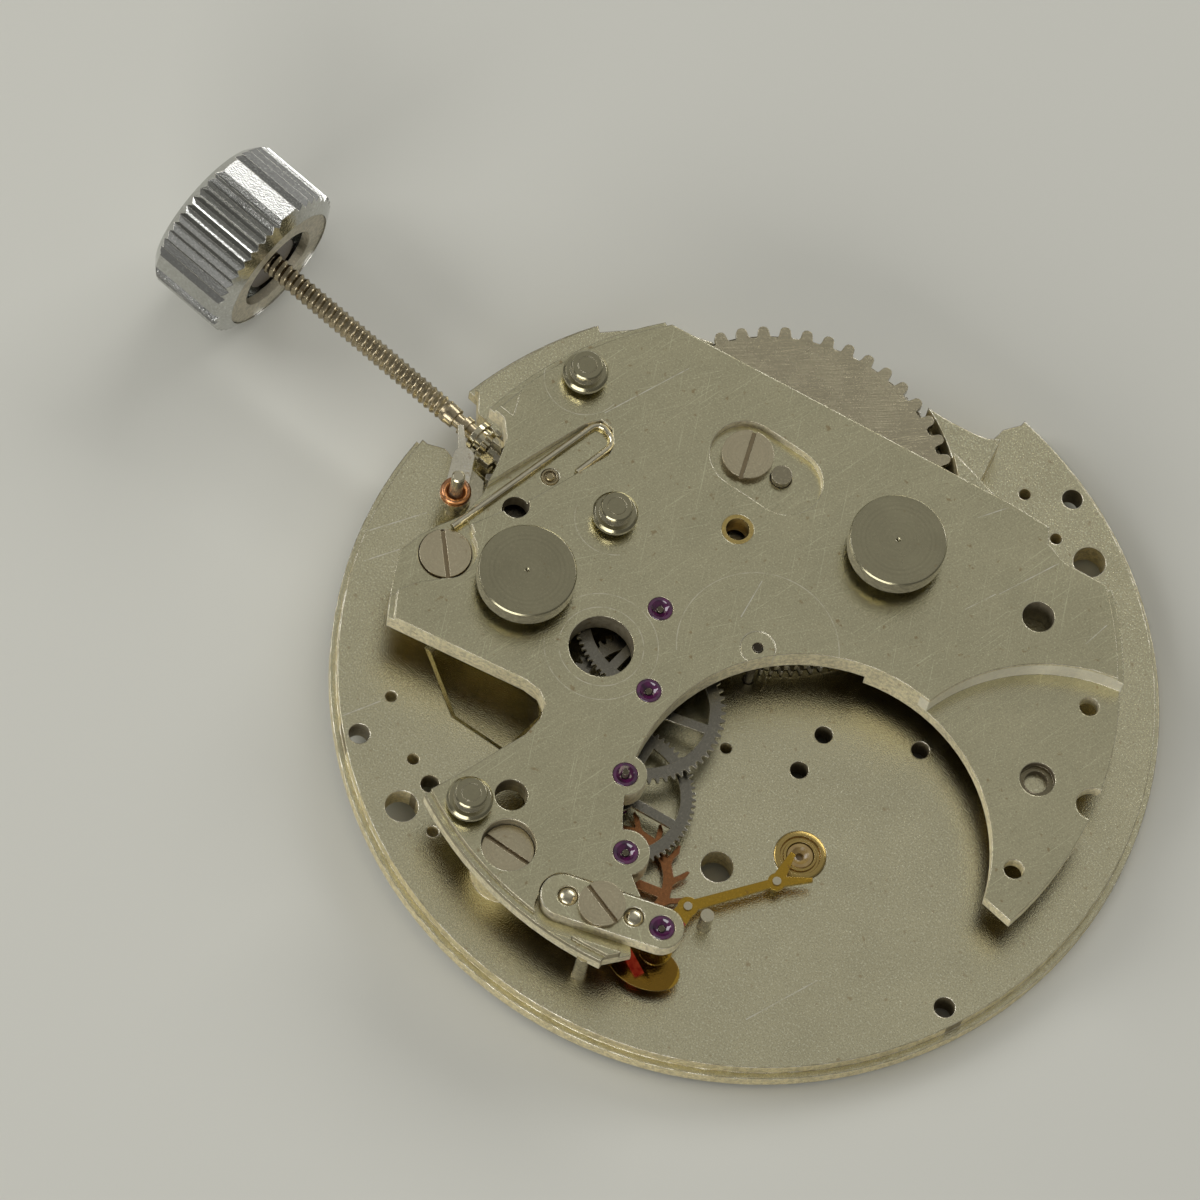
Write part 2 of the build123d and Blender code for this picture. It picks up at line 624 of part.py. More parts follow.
def ring(place, low, high, outer, inner):
    """A plain ring or bush."""
    with BuildPart() as hoop:
        with BuildSketch(level(place, low)):
            Circle(outer)
            Circle(inner, mode=Mode.SUBTRACT)
        extrude(amount=high - low)
    return hoop.part


# Jewels: ruby rings pressed flush into the bridge, the cock and the plate
pivot_r = 0.12
jewel_hole_r = pivot_r + running_gap
balance_jewel_r = 0.5
balance_setting_low = 0.4
balance_jewel_low = 0.7
keep(Compound(children=[ring(place, jewel_floor, bridge_top, jewel_r,
     jewel_hole_r) for place in top_jewels]),
     "bridge_jewels")
keep(Compound(children=[ring(place, plate_jewel_low, plate_top, jewel_r, jewel_hole_r)
                        for place in jewel_places]), "plate_jewels")
keep(ring(pallet_shares, cock_recess_floor, cock_top, jewel_r, jewel_hole_r), "pallet_jewel")
keep(ring(balance_shares, balance_setting_low, plate_top, balance_setting_r, balance_jewel_r),
     "balance_setting")
keep(ring(balance_shares, balance_jewel_low, plate_top, balance_jewel_r, jewel_hole_r), "balance_jewel")

# Metal bushes: centre arbor, barrel arbor, the lined hole of the bridge
centre_hole_r = centre_arbor_r + running_gap
barrel_pivot_r = 0.5
bush_bore_r = 0.44
low_end = 0.15
upper_bush = ring(centre_shares, bridge_under, bridge_top, bush_r, centre_hole_r)
upper_bush -= pegs([balance_shares], balance_clear_r, bridge_under, bridge_top)
lower_bush = ring(centre_shares, minute_recess_depth, barrel_recess_floor, bush_r, centre_hole_r)
keep(Compound(children=[lower_bush, upper_bush]), "centre_bushes")
keep(ring(barrel_shares, low_end, barrel_recess_floor, bush_r + running_gap, barrel_pivot_r + running_gap),
     "barrel_bush")
keep(ring(bush_hole_shares, bridge_under, bridge_top, sight_hole_r, bush_bore_r), "threaded_bush")

# Pins: domed steady pins of the cock, dowels of the bridge, the banking post, studs and lever posts
steady_top = 4.12
banking_top = 2.3
dowel_low = 0.3
stud_top = 3.7
stud_low = 2.25
keep(Compound(children=[turned(place, [(bridge_under, steady_top, steady_r)]) for place in steady_shares]),
     "steady_pins")
keep(Compound(children=[turned(place, [(dowel_low, screw_floor, pin_r)]) for place in bridge_dowel_shares]),
     "bridge_dowels")
keep(turned(banking_shares, [(dowel_low, banking_top, pin_r)]), "banking_post")
keep(turned(crown_wheel_shares, [(stud_low, stud_top, crown_stud_r)]), "crown_wheel_stud")
keep(turned(click_shares, [(stud_low, screw_floor, click_stud_r)]), "click_stud")

# Going train. Each wheel starts with a tooth on the line of centres and its pinion with a gap there.


def mesh_phases(first, second, second_teeth):
    """Phase of a wheel towards its partner, and of the partner with a gap facing the wheel."""
    _, turn = apart(first, second)
    half_step = 180 / second_teeth
    return turn, turn + 180 + half_step


barrel_phase, second_pinion_phase = mesh_phases(barrel_shares, second_shares, second_pinion_leaves)
second_phase, third_pinion_phase = mesh_phases(second_shares, third_shares, third_pinion_leaves)
third_phase, fourth_pinion_phase = mesh_phases(third_shares, fourth_shares, fourth_pinion_leaves)
fourth_phase, escape_pinion_phase = mesh_phases(fourth_shares, escape_shares, escape_pinion_leaves)
ratchet_phase, crown_phase = mesh_phases(barrel_shares, crown_wheel_shares, crown_wheel_teeth)
minute_phase, cannon_phase = mesh_phases(second_shares, centre_shares, minute_teeth)

# Barrel: toothed drum, snapped-in cover, arbor with its hub, and the coiled mainspring
drum_step = 0.14
drum_r = barrel_pitch_r - fall_share * 2 * barrel_pitch_r / barrel_teeth - drum_step
drum_wall = 0.35
drum_floor = 0.28
cover_thick = 0.2
cover_ledge = 0.1
arbor_journal_r = 0.6
arbor_hub_r = 0.85
press_gap = 0.01
barrel_top = barrel_low + barrel_height
barrel_bottom = barrel_recess_floor + wheel_side_gap
cover_low = barrel_top - cover_thick
with BuildPart() as barrel_drum:
    with BuildSketch(level(barrel_shares, barrel_bottom)):
        with BuildLine():
            Polyline(*tooth_points(barrel_pitch_r, barrel_teeth, barrel_phase), close=True)
        make_face()
    extrude(amount=barrel_tooth_width)
    with BuildSketch(level(barrel_shares, barrel_bottom)):
        Circle(drum_r)
    extrude(amount=barrel_top - barrel_bottom)
    add(pegs([barrel_shares], drum_r - drum_wall, barrel_bottom + drum_floor, barrel_top),
        mode=Mode.SUBTRACT)
    add(pegs([barrel_shares], drum_r - cover_ledge, cover_low, barrel_top), mode=Mode.SUBTRACT)
    add(pegs([barrel_shares], arbor_journal_r + running_gap, barrel_bottom, barrel_top), mode=Mode.SUBTRACT)
keep(barrel_drum.part, "barrel_drum")
keep(ring(barrel_shares, cover_low, barrel_top, drum_r - cover_ledge - press_gap,
     arbor_journal_r + running_gap),
     "barrel_cover")
spring_low = barrel_bottom + drum_floor + running_gap
spring_high = cover_low - running_gap
arbor_steps = [(low_end, barrel_bottom - running_gap, barrel_pivot_r),
               (barrel_bottom - running_gap, spring_low, arbor_journal_r), (spring_low, spring_high,
               arbor_hub_r),
               (spring_high, ratchet_low + ratchet_thick, arbor_journal_r),
               (ratchet_low + ratchet_thick, bridge_under - face_gap, arbor_hub_r),
               (bridge_under - face_gap, barrel_screw_top, arbor_tip_r)]
keep(turned(barrel_shares, arbor_steps), "barrel_arbor")

coil_width = 0.12
coil_turns = 9
points_per_turn = 30
coil_start_r = arbor_hub_r + running_gap
coil_end_r = drum_r - drum_wall - running_gap - coil_width
coil_growth = (coil_end_r - coil_start_r) / (coil_turns * points_per_turn)
coil_inner, coil_outer = [], []
for step in range(coil_turns * points_per_turn + 1):
    turn = 2 * pi * step / points_per_turn
    reach = coil_start_r + coil_growth * step
    coil_inner.append((reach * cos(turn), reach * sin(turn)))
    coil_outer.append(((reach + coil_width) * cos(turn), (reach + coil_width) * sin(turn)))
with BuildPart() as mainspring:
    with BuildSketch(level(barrel_shares, spring_low)):
        with BuildLine():
            Polyline(*(coil_inner + coil_outer[::-1]), close=True)
        make_face()
    extrude(amount=spring_high - spring_low)
keep(mainspring.part, "mainspring")

# Ratchet wheel on the barrel arbor, and the crown wheel on its stud
ratchet_plane = level(barrel_shares, ratchet_low)
with BuildPart() as ratchet_wheel:
    with BuildSketch(ratchet_plane):
        with BuildLine():
            Polyline(*rounded_points(ratchet_pitch_r, ratchet_teeth, ratchet_phase), close=True)
        make_face()
        Circle(arbor_journal_r + press_gap, mode=Mode.SUBTRACT)
    extrude(amount=ratchet_thick)
keep(ratchet_wheel.part, "ratchet_wheel")
keep(toothed_disc(level(crown_wheel_shares, ratchet_low), crown_pitch_r, crown_wheel_teeth, crown_phase,
                  ratchet_thick, crown_stud_r + running_gap), "crown_wheel")

# Train arbors: a turned steel arbor with its pinion leaves cut in the solid
arbor_r = 0.2
stout_arbor_r = 0.25
pivot_low = 0.55
pivot_high = 3.95
shoulder_gap = 0.05


def pinion_arbor(place, pitch_r, leaves, phase, leaf_low, leaf_high, shaft_r, tail_low, tail_high):
    """An arbor with two pivots and a pinion cut in the solid."""
    low_shoulder, high_shoulder = plate_top + shoulder_gap, jewel_floor - shoulder_gap
    with BuildPart() as arbor:
        with BuildSketch(level(place, tail_low)):
            Circle(pivot_r)
        extrude(amount=tail_high - tail_low)
        with BuildSketch(level(place, low_shoulder)):
            Circle(shaft_r)
        extrude(amount=high_shoulder - low_shoulder)
        with BuildSketch(level(place, leaf_low)):
            with BuildLine():
                Polyline(*tooth_points(pitch_r, leaves, phase), close=True)
            make_face()
        extrude(amount=leaf_high - leaf_low)
    return arbor.part


second_leaf_top = barrel_bottom + barrel_tooth_width + face_gap
third_leaf_low = 2.52
third_leaf_top = bridge_under - wheel_side_gap
fourth_leaf_low = 2.12
fourth_leaf_top = 2.55
escape_leaf_low = 1.74
escape_leaf_top = 2.1
long_pivot_top = 4.25
dial_pivot_end = 0.05
low_shoulder = plate_top + shoulder_gap
keep(pinion_arbor(second_shares, second_pinion_r, second_pinion_leaves, second_pinion_phase, low_shoulder,
                  second_leaf_top, stout_arbor_r, dial_pivot_end, pivot_high), "second_pinion")
keep(pinion_arbor(third_shares, third_pinion_r, third_pinion_leaves, third_pinion_phase, third_leaf_low,
                  third_leaf_top, arbor_r, pivot_low, pivot_high), "third_pinion")
keep(pinion_arbor(fourth_shares, fourth_pinion_r, fourth_pinion_leaves, fourth_pinion_phase,
     fourth_leaf_low,
                  fourth_leaf_top, arbor_r, pivot_low, long_pivot_top), "fourth_pinion")
keep(pinion_arbor(escape_shares, escape_pinion_r, escape_pinion_leaves, escape_pinion_phase,
     escape_leaf_low,
                  escape_leaf_top, arbor_r, pivot_low, pivot_high), "escape_pinion")

# Train wheels: thin spoked wheels pressed on the arbors
second_spoke_turn = 0
third_spoke_turn = 22
fourth_spoke_turn = 12
escape_spoke_turn = 19.5
keep(spoked_wheel(level(second_shares, second_wheel_low), second_pitch_r, second_teeth, second_phase,
                  second_wheel_thick, stout_arbor_r + press_gap, second_spoke_turn), "second_wheel")
keep(spoked_wheel(level(third_shares, third_wheel_low), third_pitch_r, third_teeth, third_phase,
                  train_wheel_thick, arbor_r + press_gap, third_spoke_turn), "third_wheel")
keep(spoked_wheel(level(fourth_shares, fourth_wheel_low), fourth_pitch_r, fourth_teeth, fourth_phase,
                  train_wheel_thick, arbor_r + press_gap, fourth_spoke_turn), "fourth_wheel")

# Escape wheel: fifteen club teeth on a narrow rim
escape_r = 2.6
escape_phase = 5
club_shares = [(0.77, -0.34), (0.82, -0.16), (0.93, 0.0), (1.0, 0.22), (0.97, 0.28), (0.85, 0.14), (0.77,
               0.04)]
escape_rim_inner_share = 0.62
escape_points = []
for tooth in range(escape_teeth):
    middle = radians(escape_phase) + 2 * pi * tooth / escape_teeth
    for r_share, turn_share in club_shares:
        angle = middle + 2 * pi * turn_share / escape_teeth
        escape_points.append((escape_r * r_share * cos(angle), escape_r * r_share * sin(angle)))
with BuildPart() as escape_wheel:
    with BuildSketch(level(escape_shares, escape_wheel_low)):
        with BuildLine():
            Polyline(*escape_points, close=True)
        make_face()
        Circle(escape_r * escape_rim_inner_share, mode=Mode.SUBTRACT)
        with PolarLocations(0, spoke_count, start_angle=escape_spoke_turn):
            Rectangle(escape_r * escape_rim_inner_share + running_gap, spoke_width,
                      align=(Align.MIN, Align.CENTER))
        Circle(hub_r)
        Circle(arbor_r + press_gap, mode=Mode.SUBTRACT)
    extrude(amount=escape_wheel_thick)
keep(escape_wheel.part, "escape_wheel")

# Pallet fork: brass lever with a wing for the entry stone, riveted horns, on its own staff
fork_shares = [(-0.197, 0.710), (-0.187, 0.758), (-0.239, 0.774), (-0.284, 0.810), (-0.361, 0.803),
               (-0.390, 0.768), (-0.355, 0.723), (-0.339, 0.671), (-0.319, 0.619), (-0.313, 0.565),
               (-0.345, 0.465), (-0.410, 0.371), (-0.466, 0.306), (-0.458, 0.287), (-0.406, 0.319),
               (-0.384, 0.271), (-0.365, 0.274), (-0.374, 0.355), (-0.321, 0.458), (-0.268, 0.529),
               (-0.248, 0.574), (-0.240, 0.613), (-0.255, 0.658)]
entry_stone_shares = (-0.268, 0.748)
entry_stone_length = 1.5
entry_stone_turn = 159
exit_stone_shares = (-0.287, 0.607)
exit_stone_length = 0.7
exit_stone_turn = 177
stone_width = 0.36
stone_low = 1.5
stone_high = 1.95
staff_r = 0.2
rivet_r = 0.16
rivet_top = 1.9
rivet_shares = [(-0.283, 0.557), (-0.395, 0.365)]
pallet_plate_top = pallet_plate_low + pallet_plate_thick
with BuildPart() as pallet_stones:
    with BuildSketch(level(entry_stone_shares, stone_low)):
        Rectangle(entry_stone_length, stone_width, rotation=entry_stone_turn)
    with BuildSketch(level(exit_stone_shares, stone_low)):
        Rectangle(exit_stone_length, stone_width, rotation=exit_stone_turn)
    extrude(amount=stone_high - stone_low)
with BuildPart() as pallet_fork:
    add(block(fork_shares, pallet_plate_low, pallet_plate_top))
    add(pallet_stones.part, mode=Mode.SUBTRACT)
    add(pegs([pallet_shares], staff_r, pallet_plate_low, pallet_plate_top), mode=Mode.SUBTRACT)
    add(pegs(rivet_shares, rivet_r, pallet_plate_low, pallet_plate_top), mode=Mode.SUBTRACT)
keep(pallet_fork.part, "pallet_fork")
keep(pallet_stones.part, "pallet_stones")
staff_steps = [(pivot_low, low_shoulder, pivot_r), (low_shoulder, cock_recess_floor - shoulder_gap,
               staff_r),
               (cock_recess_floor - shoulder_gap, pivot_high, pivot_r)]
keep(turned(pallet_shares, staff_steps), "pallet_staff")
keep(pegs(rivet_shares, rivet_r, pallet_plate_low - shoulder_gap, rivet_top), "fork_rivets")

# Motion work on the dial side: driving wheel on the second arbor, cannon wheel on the centre arbor
minute_low = 0.1
arbor_end = 4.02
keep(toothed_disc(level(second_shares, minute_low), minute_pitch_r, minute_teeth, minute_phase,
                  minute_wheel_thick, pivot_r + press_gap), "drive_wheel")
keep(toothed_disc(level(centre_shares, minute_low), minute_pitch_r, minute_teeth, cannon_phase,
                  minute_wheel_thick, centre_arbor_r + press_gap), "cannon_wheel")
keep(turned(centre_shares, [(0, arbor_end, centre_arbor_r)]), "centre_arbor")

# Winding stem: thread for the crown, shoulder, groove, square for the clutch, journal and pilot
clutch_r = 0.72
clutch_groove_r = 0.48
journal_r = 0.26
stem_entry = 1.4


def across_stem(distance):
    """A plane square to the stem, at a distance from the middle of the plate."""
    return Plane(origin=(distance, 0, stem_height), x_dir=(0, 1, 0), z_dir=(1, 0, 0))


def stem_rod(start, end, radius):
    """A round length of the stem."""
    with BuildPart() as rod:
        with BuildSketch(across_stem(start)):
            Circle(radius)
        extrude(amount=end - start)
    return rod.part


with BuildPart() as winding_stem:
    add(stem_rod(pilot_start, pilot_end, stem_pilot_r))
    add(stem_rod(pilot_end, journal_end, journal_r))
    with BuildSketch(across_stem(journal_end)):
        Rectangle(stem_square, stem_square)
    extrude(amount=square_end - journal_end)
    add(stem_rod(square_end, lever_groove_start, stem_journal_r))
    add(stem_rod(lever_groove_start, lever_groove_end, stem_groove_r))
    add(stem_rod(lever_groove_end, shoulder_end, stem_journal_r))
    add(stem_rod(shoulder_end, crown_face + stem_entry, stem_thread_r))
keep(winding_stem.part, "winding_stem")

# Winding pinion on the stem journal, and the sliding clutch on the square with its yoke groove
winding_phase = 90
with BuildPart() as winding_pinion:
    with BuildSketch(across_stem(winding_pinion_start)):
        with BuildLine():
            Polyline(*tooth_points(winding_pitch_r, winding_leaves, winding_phase), close=True)
        make_face()
        Circle(journal_r + running_gap, mode=Mode.SUBTRACT)
    extrude(amount=winding_pinion_end - winding_pinion_start)
keep(winding_pinion.part, "winding_pinion")
clutch_teeth = 12
clutch_tooth_depth = 0.1
with BuildPart() as sliding_clutch:
    with BuildSketch(across_stem(clutch_start)):
        with BuildLine():
            Polyline(*tooth_points(clutch_r - clutch_tooth_depth, clutch_teeth, winding_phase), close=True)
        make_face()
    extrude(amount=clutch_groove_start - clutch_start)
    add(stem_rod(clutch_groove_start, clutch_groove_end, clutch_groove_r))
    add(stem_rod(clutch_groove_end, clutch_end, clutch_r - clutch_tooth_depth))
    with BuildSketch(across_stem(clutch_start)):
        Rectangle(stem_square + 2 * running_gap, stem_square + 2 * running_gap)
    extrude(amount=clutch_end - clutch_start, mode=Mode.SUBTRACT)
keep(sliding_clutch.part, "sliding_clutch")

# Crown: fluted in groups with plain bands between, hollow inside for the core and the sealing ring
flute_groups = 4
flutes_in_group = 10
flute_turn = 7.6
crown_start_turn = 57
crown_points = []
for group in range(flute_groups):
    first_turn = crown_start_turn + group * 360 / flute_groups - flutes_in_group * flute_turn / 2
    for flute in range(flutes_in_group):
        edge = radians(first_turn + flute * flute_turn)
        valley = radians(first_turn + flute * flute_turn + flute_turn / 2)
        crown_points.append((crown_r * cos(edge), crown_r * sin(edge)))
        inner_r = crown_r - crown_flute_depth
        crown_points.append((inner_r * cos(valley), inner_r * sin(valley)))
    last = radians(first_turn + flutes_in_group * flute_turn)
    crown_points.append((crown_r * cos(last), crown_r * sin(last)))
crown_recess_r = crown_r - crown_wall
crown_end = crown_face + crown_length
with BuildPart() as crown:
    with BuildSketch(across_stem(crown_face)):
        with BuildLine():
            Polyline(*crown_points, close=True)
        make_face()
    extrude(amount=crown_length)
    with BuildSketch(Plane.XZ):
        with BuildLine():
            Polyline((crown_face, stem_height), (crown_face, stem_height + crown_recess_r),
                     (crown_face + crown_bevel, stem_height + crown_r),
                     (crown_end - crown_bevel, stem_height + crown_r),
                     (crown_end, stem_height + crown_r - crown_bevel), (crown_end, stem_height), close=True)
        make_face()
    revolve(axis=Axis((0, 0, stem_height), (1, 0, 0)), mode=Mode.INTERSECT)
    add(stem_rod(crown_face, crown_face + crown_recess_depth, crown_recess_r), mode=Mode.SUBTRACT)
keep(crown.part, "crown")
core_start = crown_face + crown_ring_thick
with BuildPart() as crown_core:
    with BuildSketch(across_stem(core_start)):
        Circle(crown_core_r)
        Circle(stem_thread_r + press_gap, mode=Mode.SUBTRACT)
    extrude(amount=crown_face + crown_recess_depth - core_start)
keep(crown_core.part, "crown_core")
ring_start = 0.06
with BuildPart() as crown_gasket:
    with BuildSketch(across_stem(crown_face + ring_start)):
        Circle(crown_recess_r - press_gap)
        Circle(crown_recess_r - crown_ring_width, mode=Mode.SUBTRACT)
    extrude(amount=crown_ring_thick)
keep(crown_gasket.part, "crown_gasket")

# Keyless works: setting lever with its pin in the stem groove, yoke in the clutch groove, wire spring
lever_low = 2.52
lever_thick = 0.25
yoke_low = 1.85
yoke_thick = 0.3
lever_pin_r = 0.12
lever_pin_low = 2.32
lever_ring_r = 0.58
lever_ring_low = 2.8
lever_ring_top = 3.0
lever_post_top = 3.5
lever_shares = [(0.775, 0.190), (0.775, 0.140), (0.815, 0.125), (0.900, 0.030), (0.918, -0.016),
                (0.950, -0.016), (0.953, 0.025), (0.900, 0.110), (0.850, 0.200), (0.805, 0.215)]
yoke_shares = [(0.700, 0.235), (0.705, 0.200), (0.725, 0.160), (0.785, 0.080), (0.853, 0.074), (0.8535,
               0.033),
               (0.8665, 0.033), (0.868, 0.085), (0.850, 0.112), (0.795, 0.120), (0.755, 0.180), (0.765,
               0.235),
               (0.742, 0.243)]
with BuildPart() as setting_lever:
    add(block(lever_shares, lever_low, lever_low + lever_thick))
    add(pegs([lever_pin_shares], lever_pin_r, lever_pin_low, lever_low))
    add(pegs([lever_pivot_shares], lever_post_r + running_gap, lever_low, lever_low + lever_thick),
        mode=Mode.SUBTRACT)
keep(setting_lever.part, "setting_lever")
with BuildPart() as yoke:
    add(block(yoke_shares, yoke_low, yoke_low + yoke_thick))
    add(pegs([yoke_pivot_shares], lever_post_r + running_gap, yoke_low, yoke_low + yoke_thick),
        mode=Mode.SUBTRACT)
keep(yoke.part, "yoke")
keep(turned(lever_pivot_shares, [(dowel_low, lever_post_top, lever_post_r)]), "setting_lever_post")
keep(turned(yoke_pivot_shares, [(dowel_low, lever_low - face_gap, lever_post_r)]), "yoke_post")
keep(ring(lever_pivot_shares, lever_ring_low, lever_ring_top, lever_ring_r, lever_post_r),
     "setting_lever_bush")

# Yoke spring: a hairpin of steel wire lying in its pocket of the bridge
wire_r = 0.13
wire_height = spring_pocket_floor + wire_r
wire_bend_r = 0.4
wire_shares = [(0.735, 0.262), (0.663, -0.190), (0.598, -0.172), (0.614, -0.050)]
with BuildPart() as yoke_spring:
    with BuildLine(Plane.XY.offset(wire_height)):
        wire = FilletPolyline(*outline(wire_shares), radius=wire_bend_r)
    with BuildSketch(Plane(origin=wire @ 0, z_dir=wire % 0)):
        Circle(wire_r)
    sweep()
keep(yoke_spring.part, "yoke_spring")

# Click under the bridge, with its spring, holding the ratchet wheel
click_low = 2.36
click_thick = 0.26
click_eye_wall = 0.22
click_outline_shares = [(-0.250, -0.565), (-0.235, -0.580), (-0.190, -0.572), (-0.165, -0.545), (-0.150,
                        -0.552),
                      (-0.155, -0.520), (-0.195, -0.518), (-0.240, -0.520)]
click_spring_shares = [(-0.262, -0.586), (-0.265, -0.597), (-0.200, -0.596), (-0.140, -0.608),
                       (-0.138, -0.600), (-0.200, -0.587)]
with BuildPart() as click:
    add(block(click_outline_shares, click_low, click_low + click_thick))
    add(pegs([click_shares], click_stud_r + running_gap + click_eye_wall, click_low, click_low + click_thick))
    add(pegs([click_shares], click_stud_r + running_gap, click_low, click_low + click_thick),
        mode=Mode.SUBTRACT)
keep(click.part, "click")
keep(block(click_spring_shares, click_low, click_low + click_thick), "click_spring")
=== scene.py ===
import bpy
from math import pi, radians
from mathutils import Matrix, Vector


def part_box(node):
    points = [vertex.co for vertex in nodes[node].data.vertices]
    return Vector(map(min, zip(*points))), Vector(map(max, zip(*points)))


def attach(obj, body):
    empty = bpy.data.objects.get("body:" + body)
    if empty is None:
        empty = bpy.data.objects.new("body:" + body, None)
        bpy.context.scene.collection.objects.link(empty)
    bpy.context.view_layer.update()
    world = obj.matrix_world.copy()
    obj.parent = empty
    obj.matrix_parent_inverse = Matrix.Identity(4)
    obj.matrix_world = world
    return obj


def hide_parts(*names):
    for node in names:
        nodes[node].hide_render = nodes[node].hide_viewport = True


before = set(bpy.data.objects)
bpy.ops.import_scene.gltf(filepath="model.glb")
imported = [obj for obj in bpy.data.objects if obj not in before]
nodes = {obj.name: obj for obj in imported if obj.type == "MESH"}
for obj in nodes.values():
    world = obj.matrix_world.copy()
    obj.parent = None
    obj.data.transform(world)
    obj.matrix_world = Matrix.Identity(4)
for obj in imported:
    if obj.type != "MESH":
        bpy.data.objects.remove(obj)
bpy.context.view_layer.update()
mm = 0.001

# Main plate: a brass disc turned and milled to its steps, recesses and holes, then frosted
# and nickel plated. The plating is thin on the milled walls, so the brass warms them; the
# walls are also painted paler than the faces, as a painted highlight.
plate_r = -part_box("main_plate")[0].x
nickel = (0.69, 0.64, 0.42)
warm_lit_wall = (0.86, 0.74, 0.44)
plate_top = 1.15 * mm
scratch_width = 0.035 * mm
level_face = 0.6
spot_size, tarnish_size, stain_size = 2.6 * mm, 0.17 * mm, 0.3 * mm
gloss_size, highlight_patch_size, brush_size = 1.1 * mm, 0.6 * mm, 1.4 * mm
dull_tone, grain_tone, glint_tone, tarnish_tone, groove_tone = 0.6, 0.4, 1.8, 0.35, 0.5
# Edge colours: a dark line along every edge, then a pale painted highlight laid over it in patches.
stain_brown, dark_edge_line, rim_highlight = (0.30, 0.17, 0.05), (0.20, 0.13, 0.06), (0.95, 0.90, 0.75)
edge_bend = 0.985
fine_line_turns = ((7, 3.1 * mm), (-16, 2.3 * mm), (48, 2.7 * mm))
mark_strength = 0.7


def at(shares, height=0.0):
    """A place on the movement from its shares of the plate's radius."""
    return (plate_r * shares[0], plate_r * shares[1], height)


def link(tree, source, target):
    tree.links.new(source, target)


def number(tree, operation, first, second=None, third=None):
    """One arithmetic node; each input is a socket or a plain number."""
    node = tree.nodes.new("ShaderNodeMath")
    node.operation = operation
    for place, value in enumerate((first, second, third)):
        if value is None:
            continue
        if isinstance(value, (int, float)):
            node.inputs[place].default_value = value
        else:
            link(tree, value, node.inputs[place])
    return node.outputs[0]


def mixed(tree, share, first, second):
    """A blend of two colours; each is a socket or a plain colour."""
    node = tree.nodes.new("ShaderNodeMix")
    node.data_type = "RGBA"
    link(tree, share, node.inputs[0])
    for place, value in ((6, first), (7, second)):
        if isinstance(value, tuple):
            node.inputs[place].default_value = (*value, 1)
        else:
            link(tree, value, node.inputs[place])
    return node.outputs[2]


def patches(tree, coords, feature, low, high, detail=4.0, thin=None, turn=0.0):
    """Noise of a feature size, 0 at its low share and 1 at its high share; thin draws it out."""
    if thin:
        mapping = tree.nodes.new("ShaderNodeMapping")
        mapping.vector_type = "TEXTURE"
        mapping.inputs["Rotation"].default_value = (0, 0, radians(turn))
        mapping.inputs["Scale"].default_value = (1, thin, 1)
        link(tree, coords, mapping.inputs["Vector"])
        coords = mapping.outputs["Vector"]
    noise = tree.nodes.new("ShaderNodeTexNoise")
    noise.inputs["Scale"].default_value = 1 / feature
    noise.inputs["Detail"].default_value = detail
    link(tree, coords, noise.inputs["Vector"])
    ramp = tree.nodes.new("ShaderNodeMapRange")
    ramp.inputs["From Min"].default_value = low
    ramp.inputs["From Max"].default_value = high
    link(tree, noise.outputs["Fac"], ramp.inputs["Value"])
    return ramp.outputs["Result"]


def across(tree, coords, centre, second="Y"):
    """The two distances from a centre, along X and along a second axis."""
    split = tree.nodes.new("ShaderNodeSeparateXYZ")
    link(tree, coords, split.inputs[0])
    return (number(tree, "SUBTRACT", split.outputs["X"], centre[0]),
            number(tree, "SUBTRACT", split.outputs[second], centre[1]))


def from_centre(tree, coords, centre):
    """The distance from a centre, seen from above."""
    along, over = across(tree, coords, centre)
    return number(tree, "SQRT", number(tree, "ADD", number(tree, "MULTIPLY", along, along),
                                       number(tree, "MULTIPLY", over, over)))


def hairline(tree, coords, start, end, width):
    """A straight scratch between two places, faded in parts."""
    first, last = Vector(start), Vector(end)
    middle, way = (first + last) / 2, (last - first)
    reach, way = way.length / 2, way.normalized()
    along, over = across(tree, coords, middle)
    forward = number(tree, "ADD", number(tree, "MULTIPLY", along, way.x),
                     number(tree, "MULTIPLY", over, way.y))
    aside = number(tree, "SUBTRACT", number(tree, "MULTIPLY", over, way.x),
                   number(tree, "MULTIPLY", along, way.y))
    near = number(tree, "LESS_THAN", number(tree, "ABSOLUTE", aside), width / 2)
    inside = number(tree, "LESS_THAN", number(tree, "ABSOLUTE", forward), reach)
    return number(tree, "MULTIPLY", number(tree, "MULTIPLY", near, inside),
                  patches(tree, coords, 0.5 * mm, 0.3, 0.6))


def scribed_ring(tree, coords, centre, radius, width, middle_turn=0, half_turn=180):
    """A scribed circle or arc about a centre, broken here and there."""
    along, over = across(tree, coords, centre)
    line = number(tree, "COMPARE", from_centre(tree, coords, centre), radius, width / 2)
    turn = number(tree, "ARCTAN2", over, along)
    inside = number(tree, "COMPARE", turn, radians(middle_turn), radians(half_turn))
    return number(tree, "MULTIPLY", number(tree, "MULTIPLY", line, inside),
                  patches(tree, coords, 0.4 * mm, 0.3, 0.62))


def toned(colour, share):
    """A colour made darker or lighter."""
    return tuple(min(1.0, share * part) for part in colour)


def relief(tree, height, depth, normal):
    """Fine relief of a depth over the normals it is given."""
    bump = tree.nodes.new("ShaderNodeBump")
    bump.inputs["Strength"].default_value = 1.0
    bump.inputs["Distance"].default_value = depth
    link(tree, height, bump.inputs["Height"])
    link(tree, normal, bump.inputs["Normal"])
    return bump.outputs["Normal"]


